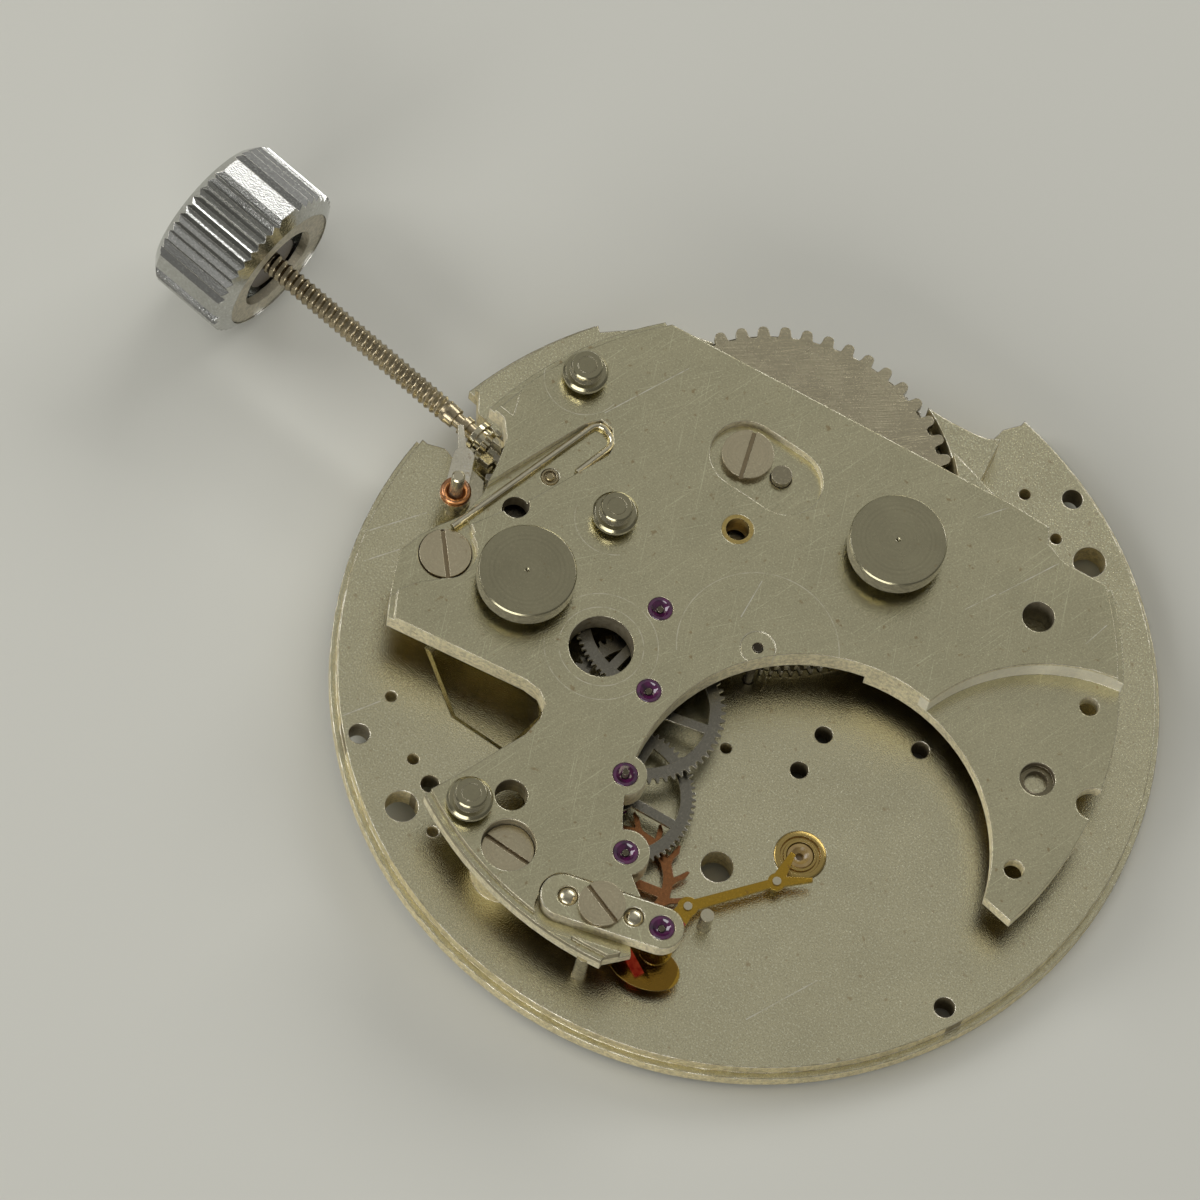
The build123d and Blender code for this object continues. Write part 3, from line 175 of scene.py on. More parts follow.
def plated_metal(name, colour, wall_colour, rough, grain=0.07 * mm, grain_depth=0.003 * mm,
                 grain_share=0.3, brush_turn=None, brush_depth=0.0, brush_share=0.12, edge=0.05 * mm,
                 spots=0.1, metal=1.0, marks=(), turned_at=(), groove=0.05 * mm,
                 groove_depth=0.0008 * mm, stain=0.0, under_colour=None, edge_line_and_highlight=0.5, wall_share=0.8,
                 wall_rough=0.65, tarnished=0.45):
    """A plated or polished metal: frosted, brushed or turned faces, walls, stains, marks, painted glints, a
    dark line along the edges with a painted highlight on it in patches, and a painted shade colour for
    faces turned down.
    """
    material = bpy.data.materials.new(name)
    material.use_nodes = True
    tree = material.node_tree
    shader = tree.nodes["Principled BSDF"]
    texture = tree.nodes.new("ShaderNodeTexCoord")
    coords = texture.outputs["Object"]
    axis = tree.nodes.new("ShaderNodeSeparateXYZ")
    link(tree, texture.outputs["Normal"], axis.inputs[0])
    flat = number(tree, "GREATER_THAN", number(tree, "ABSOLUTE", axis.outputs["Z"]), level_face)
    look = mixed(tree, flat, wall_colour, colour)
    if under_colour:
        look = mixed(tree, number(tree, "LESS_THAN", axis.outputs["Z"], -level_face), look, under_colour)
    spotted = number(tree, "MULTIPLY", patches(tree, coords, spot_size, 0.4, 0.75), spots)
    look = mixed(tree, spotted, look, toned(colour, dull_tone))
    pitted = number(tree, "MULTIPLY", patches(tree, coords, grain, 0.45, 0.72, 2.0), grain_share)
    look = mixed(tree, pitted, look, toned(colour, grain_tone))
    glinting = number(tree, "MULTIPLY", patches(tree, coords, 1.3 * grain, 0.57, 0.66, 2.0), grain_share)
    look = mixed(tree, glinting, look, toned(colour, glint_tone))
    tarnish = number(tree, "MULTIPLY", number(tree, "SUBTRACT", 1.0, flat),
                     patches(tree, coords, tarnish_size, 0.44, 0.62, 5.0))
    look = mixed(tree, number(tree, "MULTIPLY", tarnish, tarnished), look, toned(wall_colour, tarnish_tone))
    if stain:
        stained = number(tree, "MULTIPLY", patches(tree, coords, stain_size, 0.67, 0.73, 3.0), stain)
        look = mixed(tree, stained, look, stain_brown)
    gloss = number(tree, "MULTIPLY_ADD", patches(tree, coords, gloss_size, 0.3, 0.7), 0.08, rough - 0.04)
    gloss = number(tree, "MULTIPLY", gloss, number(tree, "MULTIPLY_ADD", flat, 1 - wall_rough, wall_rough))
    edges = tree.nodes.new("ShaderNodeBevel")
    edges.samples = 4
    edges.inputs["Radius"].default_value = edge
    surface = tree.nodes.new("ShaderNodeNewGeometry")
    turned_away = tree.nodes.new("ShaderNodeVectorMath")
    turned_away.operation = "DOT_PRODUCT"
    link(tree, edges.outputs["Normal"], turned_away.inputs[0])
    link(tree, surface.outputs["Normal"], turned_away.inputs[1])
    rim = number(tree, "LESS_THAN", turned_away.outputs["Value"], edge_bend)
    highlight_patches = number(tree, "MULTIPLY", patches(tree, coords, highlight_patch_size, 0.4, 0.6), edge_line_and_highlight)
    # Every edge is darkened to a line, then painted pale in patches: a painted highlight along the rims.
    look = mixed(tree, number(tree, "MULTIPLY", rim, 0.5 * edge_line_and_highlight), look, dark_edge_line)
    look = mixed(tree, number(tree, "MULTIPLY", rim, highlight_patches), look, rim_highlight)
    normal = relief(tree, patches(tree, coords, grain, 0.2, 0.8, 3.0), grain_depth, edges.outputs["Normal"])
    if brush_turn is not None:
        lines = patches(tree, coords, brush_size, 0.3, 0.7, 5.0, 0.03, brush_turn)
        normal = relief(tree, lines, brush_depth, normal)
        look = mixed(tree, number(tree, "MULTIPLY", lines, brush_share), look, toned(colour, dull_tone))
        for turn, feature in fine_line_turns:
            line = patches(tree, coords, feature, 0.66, 0.72, 2.0, 0.014, brush_turn + turn)
            look = mixed(tree, number(tree, "MULTIPLY", line, 0.3), look, toned(colour, glint_tone))
    if turned_at:
        reach = from_centre(tree, coords, turned_at[0])
        for centre in turned_at[1:]:
            reach = number(tree, "MINIMUM", reach, from_centre(tree, coords, centre))
        rings = tree.nodes.new("ShaderNodeTexNoise")
        rings.noise_dimensions = "1D"
        rings.inputs["Scale"].default_value = 1 / groove
        rings.inputs["Detail"].default_value = 3.0
        link(tree, reach, rings.inputs["W"])
        normal = relief(tree, rings.outputs["Fac"], groove_depth, normal)
        look = mixed(tree, number(tree, "MULTIPLY", rings.outputs["Fac"], 0.4), look,
                     toned(colour, groove_tone))
    for mark, mark_colour in marks:
        look = mixed(tree, number(tree, "MULTIPLY", mark(tree, coords), mark_strength), look, mark_colour)
    link(tree, look, shader.inputs["Base Color"])
    link(tree, number(tree, "MULTIPLY_ADD", flat, metal * (1 - wall_share), metal * wall_share),
         shader.inputs["Metallic"])
    link(tree, gloss, shader.inputs["Roughness"])
    link(tree, normal, shader.inputs["Normal"])
    return material


def dress(node_names, material):
    """Puts a finish on CAD nodes."""
    for node_name in node_names:
        nodes[node_name].data.materials.clear()
        nodes[node_name].data.materials.append(material)


def scratched(ends_shares, width):
    """A scratch between two places, ready to be laid on a finish."""
    return lambda tree, coords: hairline(tree, coords, at(ends_shares[0]), at(ends_shares[1]), width)


def lower_part(place, radius, height):
    """What lies lower than a height round a place, ready to be shaded on a finish."""
    def shade(tree, coords):
        low = number(tree, "LESS_THAN", across(tree, coords, (0, 0), "Z")[1], height)
        near = number(tree, "LESS_THAN", from_centre(tree, coords, place), radius)
        return number(tree, "MULTIPLY", low, near)
    return shade


def wall_part(place, radius, low=-1.0, high=1.0):
    """The walls round a place between two heights, ready to be shaded on a finish."""
    def shade(tree, coords):
        split = tree.nodes.new("ShaderNodeSeparateXYZ")
        link(tree, tree.nodes.new("ShaderNodeTexCoord").outputs["Normal"], split.inputs[0])
        wall = number(tree, "LESS_THAN", number(tree, "ABSOLUTE", split.outputs["Z"]), level_face)
        near = number(tree, "LESS_THAN", from_centre(tree, coords, place), radius)
        height = across(tree, coords, (0, 0), "Z")[1]
        between = number(tree, "COMPARE", height, (low + high) / 2, (high - low) / 2)
        return number(tree, "MULTIPLY", number(tree, "MULTIPLY", wall, near), between)
    return shade


# Pale colour for fresh scratches, and for a painted highlight on the bridge's step wall.
bright_scratch_and_highlight = (0.95, 0.92, 0.80)
# Near-black colour for the walls and floors of holes: painted shade inside the holes.
hole_shade = (0.07, 0.045, 0.02)
layout_line = (0.88, 0.83, 0.65)
plate_scratches_shares = [((0.638, 0.742), (0.598, 0.652)), ((0.913, 0.341), (0.845, 0.212)),
                          ((0.870, 0.411), (0.828, 0.329)), ((-0.62, 0.47), (-0.56, 0.66))]
plate_marks = [(scratched(ends, scratch_width), bright_scratch_and_highlight) for ends in plate_scratches_shares]
shaded_hole_shares = [(-0.227, -0.012), (-0.243, 0.097), (-0.421, -0.142), (0.372, 0.729), (-0.268, -0.903),
                     (0.579, 0.749), (-0.882, 0.316)]
hole_shade_reach = 0.8 * mm
plate_marks += [(wall_part(at(place), hole_shade_reach), hole_shade) for place in shaded_hole_shares]
frosted_nickel = plated_metal("frosted_nickel", nickel, warm_lit_wall, 0.17, spots=0.2, grain_share=0.45,
                              stain=0.35, grain=0.055 * mm, grain_depth=0.007 * mm, edge=0.07 * mm,
                              edge_line_and_highlight=1.0, wall_rough=2.6, wall_share=0.6, marks=plate_marks)
dress(["main_plate"], frosted_nickel)

# Train bridge and pallet cock: milled from thick brass, nickel plated, their tops drawn over
# fine paper so they carry straight lines, with scribed layout rings and years of scratches.
bridge_top = 4.0 * mm
centre_shares = (0.0, 0.0)
wheel_view_shares = (0.272, 0.254)
post_shares = [(0.762, -0.243), (0.467, -0.014), (0.234, 0.768)]
bridge_scratches_shares = [((-0.329, -0.505), (-0.382, -0.666)), ((-0.164, -0.623), (-0.201, -0.695)),
                           ((0.666, -0.208), (0.597, -0.437)), ((0.105, -0.137), (0.081, -0.032)),
                           ((-0.295, -0.418), (-0.323, -0.499)), ((-0.562, -0.549), (-0.568, -0.621))]
scribed_rings = [(centre_shares, 3.0 * mm, -60, 105), (wheel_view_shares, 1.56 * mm, 0, 180),
                 (wheel_view_shares, 2.1 * mm, 0, 180), (centre_shares, 0.66 * mm, 0, 180),
                 (post_shares[0], 1.5 * mm, 100, 120), (post_shares[1], 1.45 * mm, 80, 60)]


def scribed(centre_place, radius, middle_turn, half_turn):
    """A scribed ring, ready to be laid on a finish."""
    return lambda tree, coords: scribed_ring(tree, coords, at(centre_place), radius, scratch_width,
                                             middle_turn, half_turn)


sight_hole_shares = [(-0.435, -0.525), (0.177, 0.682), (0.659, 0.121)]
sight_reach = 0.85 * mm
wheel_view_reach = 1.6 * mm
wing_shares = (0.05, 0.86)
wing_reach = 5.0 * mm
undercut_low, undercut_high = 3.5 * mm, 3.9 * mm
undercut_shade = (0.14, 0.11, 0.06)
step_shares = (-0.826, -0.116)
step_reach = 7.3 * mm
step_low, step_high = 3.0 * mm, 3.85 * mm
low_screw_shares = (-0.690, -0.230)
low_screw_reach = 0.72 * mm
low_land_top = 3.0 * mm
hole_lip = 0.1 * mm
bridge_marks = [(scratched(ends, scratch_width), bright_scratch_and_highlight) for ends in bridge_scratches_shares]
bridge_marks += [(scribed(*ring), layout_line) for ring in scribed_rings]
# The walls of the sight holes, the wheel view and the low screw hole, and that hole's floor, get painted
# shade.
bridge_marks += [(wall_part(at(place), sight_reach), hole_shade) for place in sight_hole_shares]
bridge_marks += [(wall_part(at(wheel_view_shares), wheel_view_reach), hole_shade),
                 (wall_part(at(wing_shares), wing_reach, undercut_low, undercut_high), undercut_shade),
                 # The step wall is painted pale: a painted highlight.
                 (wall_part(at(step_shares), step_reach, step_low, step_high), bright_scratch_and_highlight),
                 (wall_part(at(low_screw_shares), low_screw_reach), hole_shade),
                 (lower_part(at(low_screw_shares), low_screw_reach, low_land_top - hole_lip), hole_shade)]
bridge_nickel = (0.62, 0.575, 0.372)
# The bridge and cock walls are painted near white, paler than their tops: a painted highlight.
lit_bridge_wall = (0.97, 0.88, 0.64)
shaded_brass = (0.22, 0.155, 0.06)
brushed_nickel = plated_metal("brushed_nickel", bridge_nickel, lit_bridge_wall, 0.19, grain_share=0.32,
                              grain=0.055 * mm, grain_depth=0.004 * mm, brush_turn=-108,
                              brush_depth=0.002 * mm, brush_share=0.26, spots=0.2, stain=0.5,
                              edge=0.06 * mm, marks=bridge_marks, under_colour=shaded_brass, edge_line_and_highlight=0.65,
                              wall_rough=2.4, wall_share=0.6)
dress(["train_bridge", "centre_bushes"], brushed_nickel)
cock_nickel = plated_metal("cock_nickel", bridge_nickel, lit_bridge_wall, 0.24, grain_share=0.25,
                           brush_turn=-20, brush_depth=0.001 * mm, spots=0.1, under_colour=shaded_brass,
                           edge=0.08 * mm, edge_line_and_highlight=0.8, wall_rough=2.0, wall_share=0.6)
dress(["pallet_cock"], cock_nickel)

# Flat-headed posts: two wide steel heads turned on the lathe, faced with fine rings, their
# sides polished, with the mark of the centre drill. They are pressed into the bridge.
flat_post_shares = [(0.509, 0.261), (-0.078, -0.408)]
flat_head_r = 1.82 * mm
flat_head_low = 4.55 * mm
bridge_under = 2.95 * mm
flat_head_top = 5.35 * mm
flat_shank_r = 1.1 * mm


def turned_piece(name, place, profile, sides=96):
    """A round piece raised from its lowest circle, each step extruded and sized as on a lathe."""
    bpy.ops.object.select_all(action="DESELECT")
    radius, height = profile[0]
    bpy.ops.mesh.primitive_circle_add(vertices=sides, radius=radius, fill_type="NGON",
                                      location=(place[0], place[1], height))
    piece = bpy.context.object
    piece.name = name
    bpy.ops.object.transform_apply(location=True, rotation=True, scale=True)
    bpy.ops.object.mode_set(mode="EDIT")
    bpy.ops.mesh.select_all(action="SELECT")
    for next_radius, next_height in profile[1:]:
        bpy.ops.mesh.extrude_region_move(TRANSFORM_OT_translate={"value": (0, 0, next_height - height)})
        size = next_radius / radius
        bpy.ops.transform.resize(value=(size, size, 1), center_override=(place[0], place[1], next_height))
        radius, height = next_radius, next_height
    bpy.ops.mesh.select_all(action="SELECT")
    bpy.ops.mesh.normals_make_consistent(inside=False)
    bpy.ops.object.mode_set(mode="OBJECT")
    bpy.ops.object.shade_smooth_by_angle(angle=radians(32))
    return piece


def copied(piece, places):
    """A piece modelled at the first place and copied to the others, each copy with its own mesh."""
    copies = [piece]
    for place in places[1:]:
        bpy.ops.object.select_all(action="DESELECT")
        piece.select_set(True)
        bpy.context.view_layer.objects.active = piece
        bpy.ops.object.duplicate(linked=False)
        copy = bpy.context.object
        copy.location = (place[0] - places[0][0], place[1] - places[0][1], 0)
        bpy.ops.object.transform_apply(location=True, rotation=True, scale=True)
        copies.append(copy)
    return copies


def united(name, pieces, soften):
    """Several overlapping solids made into one, its sharp edges broken."""
    body = pieces[0]
    for piece in pieces[1:]:
        bpy.ops.object.select_all(action="DESELECT")
        body.select_set(True)
        bpy.context.view_layer.objects.active = body
        union = body.modifiers.new("union", "BOOLEAN")
        union.operation = "UNION"
        union.solver = "EXACT"
        union.object = piece
        bpy.ops.object.modifier_apply(modifier="union")
        bpy.data.objects.remove(piece)
    body.name = name
    breaking = body.modifiers.new("broken_edges", "BEVEL")
    breaking.width = soften
    breaking.segments = 3
    breaking.limit_method = "ANGLE"
    bpy.ops.object.modifier_apply(modifier="broken_edges")
    bpy.ops.object.shade_smooth_by_angle(angle=radians(40))
    return body


def joined(name, pieces):
    """Several solids of one kind kept as one piece."""
    bpy.ops.object.select_all(action="DESELECT")
    for piece in pieces:
        piece.select_set(True)
    bpy.context.view_layer.objects.active = pieces[0]
    bpy.ops.object.join()
    pieces[0].name = name
    return pieces[0]


def finish_piece(piece, material, body, record_slot, *replaced):
    """Gives a modelled piece its finish and its body; its material slot name is not used."""
    piece.data.materials.clear()
    piece.data.materials.append(material)
    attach(piece, body)
    if replaced:
        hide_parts(*replaced)


steel = (0.38, 0.35, 0.225)
# The sides of the turned steel heads and collars are painted near white, far paler than their faces: a
# painted reflection.
lit_steel_side = (0.85, 0.80, 0.64)
head_chamfer = 0.05 * mm
drill_mark_r = 0.09 * mm
flat_profile = [(flat_shank_r, bridge_under), (flat_shank_r, flat_head_low),
                (flat_head_r - head_chamfer, flat_head_low), (flat_head_r, flat_head_low + head_chamfer),
                (flat_head_r, flat_head_top - head_chamfer), (flat_head_r - head_chamfer, flat_head_top),
                (drill_mark_r, flat_head_top), (0.02 * mm, flat_head_top - 0.07 * mm)]
flat_places = [at(place) for place in flat_post_shares]
flat_heads = copied(turned_piece("flat_head", flat_places[0], flat_profile, 128), flat_places)
turned_steel = plated_metal("turned_steel", steel, lit_steel_side, 0.27, grain_share=0.12,
                            grain_depth=0.0012 * mm, edge=0.02 * mm, turned_at=flat_places,
                            groove=0.09 * mm, groove_depth=0.0011 * mm, spots=0.25, stain=0.2)
finish_piece(joined("flat_heads", flat_heads), turned_steel, "movement", "polished_steel",
             "flat_head_posts")

# Collared pins: three small steel pins, each with a rounded polished collar and a narrower
# top faced on the lathe. They are pressed into the bridge.
collar_low, collar_top, collar_r = 4.25 * mm, 4.68 * mm, 0.85 * mm
pin_top, pin_groove, pin_top_r, pin_shank_r = 5.18 * mm, 5.16 * mm, 0.6 * mm, 0.5 * mm
pin_groove_r, pin_groove_inner_r = 0.36 * mm, 0.335 * mm
pin_profile = [(pin_shank_r, bridge_under), (pin_shank_r, collar_low), (collar_r - 0.16 * mm, collar_low),
               (collar_r - 0.05 * mm, collar_low + 0.06 * mm), (collar_r, collar_low + 0.18 * mm),
               (collar_r, collar_top - 0.09 * mm), (collar_r - 0.09 * mm, collar_top),
               (pin_top_r, collar_top), (pin_top_r, pin_top - 0.05 * mm),
               (pin_top_r - 0.05 * mm, pin_top), (pin_groove_r, pin_top), (0.355 * mm, pin_groove),
               (0.34 * mm, pin_groove), (pin_groove_inner_r, pin_top), (0.05 * mm, pin_top)]
pin_places = [at(place) for place in post_shares]
pins = copied(turned_piece("collared_pin", pin_places[0], pin_profile), pin_places)
turned_pin = plated_metal("turned_pin", steel, lit_steel_side, 0.2, grain_share=0.1, grain_depth=0.001 * mm,
                          edge=0.015 * mm, turned_at=pin_places, groove=0.07 * mm,
                          groove_depth=0.0012 * mm)
finish_piece(joined("collared_pins", pins), turned_pin, "movement", "polished_steel", "collared_posts")

# Screws: steel heads turned, slotted and faced, each with its own turning rings. They hold
# the bridge, the barrel arbor and the pallet cock.
bridge_screw_shares = [(0.704, 0.321), (0.099, 0.779)]
barrel_screw_shares = (0.347, -0.368)
cock_screw_shares = (-0.158, 0.744)
bridge_head_tops = (3.66 * mm, 3.5 * mm)
screw_head_r = 1.2 * mm
slot_depth = 0.06 * mm
screw_steel = (0.63, 0.55, 0.365)
screw_wall = (0.60, 0.49, 0.30)
slot_shade = (0.20, 0.14, 0.07)
for screw_name, screw_shares, head_tops in (
        ("bridge_screws", bridge_screw_shares, bridge_head_tops),
        ("barrel_screw", [barrel_screw_shares], [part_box("barrel_screw")[1].z]),
        ("pallet_cock_screw", [cock_screw_shares], [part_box("pallet_cock_screw")[1].z])):
    screw_places = [at(place) for place in screw_shares]
    slots = [(lower_part(place, screw_head_r, head_top - slot_depth), slot_shade)
             for place, head_top in zip(screw_places, head_tops)]
    faced_steel = plated_metal("faced_" + screw_name, screw_steel, screw_wall, 0.22, grain_share=0.15,
                               edge=0.03 * mm, turned_at=screw_places, groove=0.1 * mm,
                               groove_depth=0.0012 * mm, spots=0.3, stain=0.3, marks=slots)
    dress([screw_name], faced_steel)

# Jewels: rings of purple synthetic ruby with a polished oil sink round each pivot hole,
# pressed flush into the bridge, the cock and the plate.
jewel_r = 0.465 * mm
jewel_shares = [(0.234, 0.084), (0.116, 0.261), (0.017, 0.459), (-0.112, 0.605)]
pallet_jewel_shares = (-0.297, 0.689)
jewel_seat, cock_jewel_seat = 3.6 * mm, 3.4 * mm
cock_top = 4.05 * mm


def clear_stone(name, deep_colour, pale_colour, rough):
    """A polished synthetic stone with a faint cloud of colour."""
    material = bpy.data.materials.new(name)
    material.use_nodes = True
    tree = material.node_tree
    shader = tree.nodes["Principled BSDF"]
    coords = tree.nodes.new("ShaderNodeTexCoord").outputs["Object"]
    link(tree, mixed(tree, patches(tree, coords, 0.25 * mm, 0.3, 0.7), deep_colour, pale_colour),
         shader.inputs["Base Color"])
    shader.inputs["Roughness"].default_value = rough
    shader.inputs["IOR"].default_value = 1.76
    return material


def sunk_jewel(name, place, radius, floor, top):
    """One jewel: a flat rim, a round hollow for oil and a hole for the pivot."""
    oil_sink_r, pivot_hole_r = 0.34 * mm, 0.15 * mm
    profile = [(radius, floor), (radius, top - 0.03 * mm), (radius - 0.03 * mm, top), (oil_sink_r, top),
               (0.27 * mm, top - 0.06 * mm), (0.2 * mm, top - 0.11 * mm), (pivot_hole_r, top - 0.13 * mm),
               (0.145 * mm, top - 0.3 * mm)]
    return turned_piece(name, place, profile, 48)


ruby = clear_stone("purple_ruby", (0.02, 0.003, 0.018), (0.10, 0.008, 0.07), 0.07)
jewel_places = [at(place) for place in jewel_shares]
bridge_ruby = sunk_jewel("bridge_ruby", jewel_places[0], jewel_r, jewel_seat, bridge_top)
bridge_rubies = copied(bridge_ruby, jewel_places)
finish_piece(joined("bridge_rubies", bridge_rubies), ruby, "movement", "ruby", "bridge_jewels")
pallet_ruby = sunk_jewel("pallet_ruby", at(pallet_jewel_shares), jewel_r, cock_jewel_seat, cock_top)
finish_piece(pallet_ruby, ruby, "movement", "ruby", "pallet_jewel")
dress(["plate_jewels"], ruby)

# Balance setting: a stepped brass ring turned round the lower balance jewel and pressed into
# the plate, faced with fine rings. Its jewel looks amber, because the brass shows through it.
balance_shares = (-0.386, 0.261)
setting_r = 0.96 * mm
setting_profile = [(setting_r, 0.4 * mm), (setting_r, plate_top + 0.02 * mm),
                   (setting_r - 0.05 * mm, plate_top + 0.05 * mm), (0.76 * mm, plate_top + 0.05 * mm),
                   (0.72 * mm, plate_top - 0.06 * mm), (0.64 * mm, plate_top - 0.06 * mm),
                   (0.61 * mm, plate_top + 0.03 * mm), (0.52 * mm, plate_top + 0.03 * mm),
                   (0.505 * mm, plate_top - 0.3 * mm)]
setting = turned_piece("stepped_setting", at(balance_shares), setting_profile, 72)
setting_brass = plated_metal("setting_brass", (0.50, 0.36, 0.12), (0.60, 0.42, 0.14), 0.25, grain_share=0.1,
                             edge=0.01 * mm, turned_at=[at(balance_shares)], groove=0.06 * mm)
finish_piece(setting, setting_brass, "movement", "brass", "balance_setting")
balance_jewel_r, balance_jewel_seat = 0.495 * mm, 0.86 * mm
balance_ruby = sunk_jewel("balance_ruby", at(balance_shares), balance_jewel_r, balance_jewel_seat,
                          plate_top)
amber_stone = clear_stone("amber_stone", (0.26, 0.165, 0.045), (0.36, 0.25, 0.08), 0.3)
finish_piece(balance_ruby, amber_stone, "movement", "ruby", "balance_jewel")

# Steady pins: two steel pins with polished domed ends that keep the pallet cock in line.
# They are turned and pressed into the cock.
steady_shares = [(-0.086, 0.780), (-0.232, 0.714)]
steady_r = 0.38 * mm
dome_profile = [(steady_r, bridge_under), (steady_r, 3.84 * mm), (0.36 * mm, 3.92 * mm),
                (0.32 * mm, 3.99 * mm), (0.26 * mm, 4.05 * mm), (0.18 * mm, 4.09 * mm),
                (0.1 * mm, 4.115 * mm), (0.03 * mm, 4.12 * mm)]
steady_places = [at(place) for place in steady_shares]
domes = copied(turned_piece("steady_dome", steady_places[0], dome_profile, 48), steady_places)
bright_steel = plated_metal("bright_steel", (0.58, 0.53, 0.38), (0.62, 0.56, 0.40), 0.27, grain_share=0.08,
                            edge=0.01 * mm)
finish_piece(joined("steady_domes", domes), bright_steel, "movement", "polished_steel", "steady_pins")

# Train wheels: stamped from hard sheet, lapped to a flat grey and left plain. The ratchet
# wheel is brushed straight across. The escape wheel is of reddish bronze.
lapped_grey = plated_metal("lapped_grey", (0.24, 0.225, 0.18), (0.80, 0.75, 0.58), 0.28, edge=0.03 * mm,
                           edge_line_and_highlight=0.8)
dress(["second_wheel", "third_wheel", "fourth_wheel", "crown_wheel"], lapped_grey)
brushed_steel = plated_metal("brushed_steel", (0.52, 0.465, 0.315), (0.36, 0.32, 0.20), 0.27,
                             edge=0.03 * mm, grain_share=0.25, brush_turn=-134,
                             brush_depth=0.004 * mm, brush_share=0.5, spots=0.3)
dress(["ratchet_wheel"], brushed_steel)
red_bronze = plated_metal("red_bronze", (0.33, 0.145, 0.058), (0.50, 0.24, 0.10), 0.24, edge=0.03 * mm)
dress(["escape_wheel"], red_bronze)

# Steel arbors, pinions and pins: hardened, turned and polished, the centre arbor coloured
# near black. The barrel arbor, the mainspring and the click keep a darker hardened colour.
dress(["fork_rivets", "bridge_dowels", "banking_post", "click_stud", "yoke_post"], bright_steel)
arbor_steel = plated_metal("arbor_steel", (0.15, 0.13, 0.09), (0.55, 0.50, 0.36), 0.16, edge=0.02 * mm)
dress(["second_pinion", "third_pinion", "fourth_pinion", "escape_pinion", "pallet_staff"], arbor_steel)
near_black_steel = plated_metal("near_black_steel", (0.06, 0.05, 0.035), (0.2, 0.17, 0.12), 0.2, edge=0.05 * mm)
dress(["centre_arbor"], near_black_steel)
dark_steel = plated_metal("dark_steel", (0.36, 0.32, 0.215), (0.42, 0.37, 0.25), 0.2, edge=0.04 * mm)
dress(["barrel_arbor", "mainspring", "click", "click_spring"], dark_steel)

# Crown wheel stud: a small straw-coloured steel stud between the legs of the yoke's spring,
# turned with a ring and a raised centre. It carries the crown wheel under the bridge.
stud_shares = (0.655, 0.0)
stud_r, stud_low, stud_top = 0.345 * mm, 2.25 * mm, 3.7 * mm
stud_profile = [(stud_r, stud_low), (stud_r, 3.6 * mm), (0.31 * mm, 3.66 * mm), (0.25 * mm, 3.66 * mm),
                (0.21 * mm, 3.57 * mm), (0.17 * mm, 3.57 * mm), (0.16 * mm, 3.67 * mm),
                (0.13 * mm, stud_top), (0.03 * mm, stud_top)]
stud_steel = plated_metal("stud_steel", (0.42, 0.35, 0.20), (0.5, 0.42, 0.25), 0.22, edge=0.02 * mm,
                          turned_at=[at(stud_shares)], groove=0.1 * mm)
finish_piece(turned_piece("ringed_stud", at(stud_shares), stud_profile, 64), stud_steel, "movement",
             "polished_steel", "crown_wheel_stud")

# Barrel and motion work: the barrel is turned from brass and plated; its faces are painted
# dark as painted shade under the bridge, its teeth pale as a painted highlight. The wheels
# under the dial and the two bushes are bare brass.
barrel_steel = plated_metal("barrel_steel", (0.20, 0.18, 0.12), (0.60, 0.55, 0.40), 0.25,
                            edge=0.04 * mm, edge_line_and_highlight=1.0)
dress(["barrel_drum", "barrel_cover"], barrel_steel)
barrel_brass = plated_metal("barrel_brass", (0.60, 0.45, 0.16), (0.66, 0.48, 0.17), 0.18, edge=0.01 * mm)
dress(["drive_wheel", "cannon_wheel", "barrel_bush", "threaded_bush"], barrel_brass)

# Pallet lever: gilt brass cut from sheet with softly broken edges, on a steel staff. Its red
# stones are set in slots of a round-ended wing and cemented.
lever_low, lever_high = 1.66 * mm, 1.82 * mm
staff_shares = (-0.297, 0.689)
stone_wing_shares = (-0.303, 0.737)
neck_shares, crotch_shares = (-0.283, 0.557), (-0.395, 0.365)
left_horn_shares, right_horn_shares = (-0.377, 0.284), (-0.454, 0.303)


def bar(name, start, end, width, end_width, low, high):
    """A flat bar between two places: a cube drawn out, its far end sized."""
    first, last = Vector(start[:2]), Vector(end[:2])
    middle, way = (first + last) / 2, last - first
    bpy.ops.object.select_all(action="DESELECT")
    bpy.ops.mesh.primitive_cube_add(size=1, location=(0, 0, 0))
    piece = bpy.context.object
    piece.name = name
    bpy.ops.object.mode_set(mode="EDIT")
    bpy.ops.mesh.select_all(action="DESELECT")
    bpy.ops.object.mode_set(mode="OBJECT")
    for corner in piece.data.vertices:
        corner.select = corner.co.x > 0
    for side in piece.data.edges:
        side.select = all(piece.data.vertices[n].select for n in side.vertices)
    for face in piece.data.polygons:
        face.select = all(piece.data.vertices[n].select for n in face.vertices)
    bpy.ops.object.mode_set(mode="EDIT")
    bpy.ops.transform.resize(value=(1, end_width / width, 1), center_override=(0.5, 0, 0))
    bpy.ops.object.mode_set(mode="OBJECT")
    piece.scale = (way.length, width, high - low)
    piece.rotation_euler = (0, 0, way.angle_signed(Vector((1, 0))))
    piece.location = (middle.x, middle.y, (low + high) / 2)
    bpy.ops.object.transform_apply(location=True, rotation=True, scale=True)
    return piece


def disc(name, place, long_r, short_r, turn, low, high):
    """A flat disc, round or drawn out."""
    bpy.ops.object.select_all(action="DESELECT")
    bpy.ops.mesh.primitive_cylinder_add(vertices=64, radius=1, depth=high - low,
                                        location=(place[0], place[1], (low + high) / 2))
    piece = bpy.context.object
    piece.name = name
    piece.scale = (long_r, short_r, 1)
    piece.rotation_euler = (0, 0, radians(turn))
    bpy.ops.object.transform_apply(location=True, rotation=True, scale=True)
    return piece


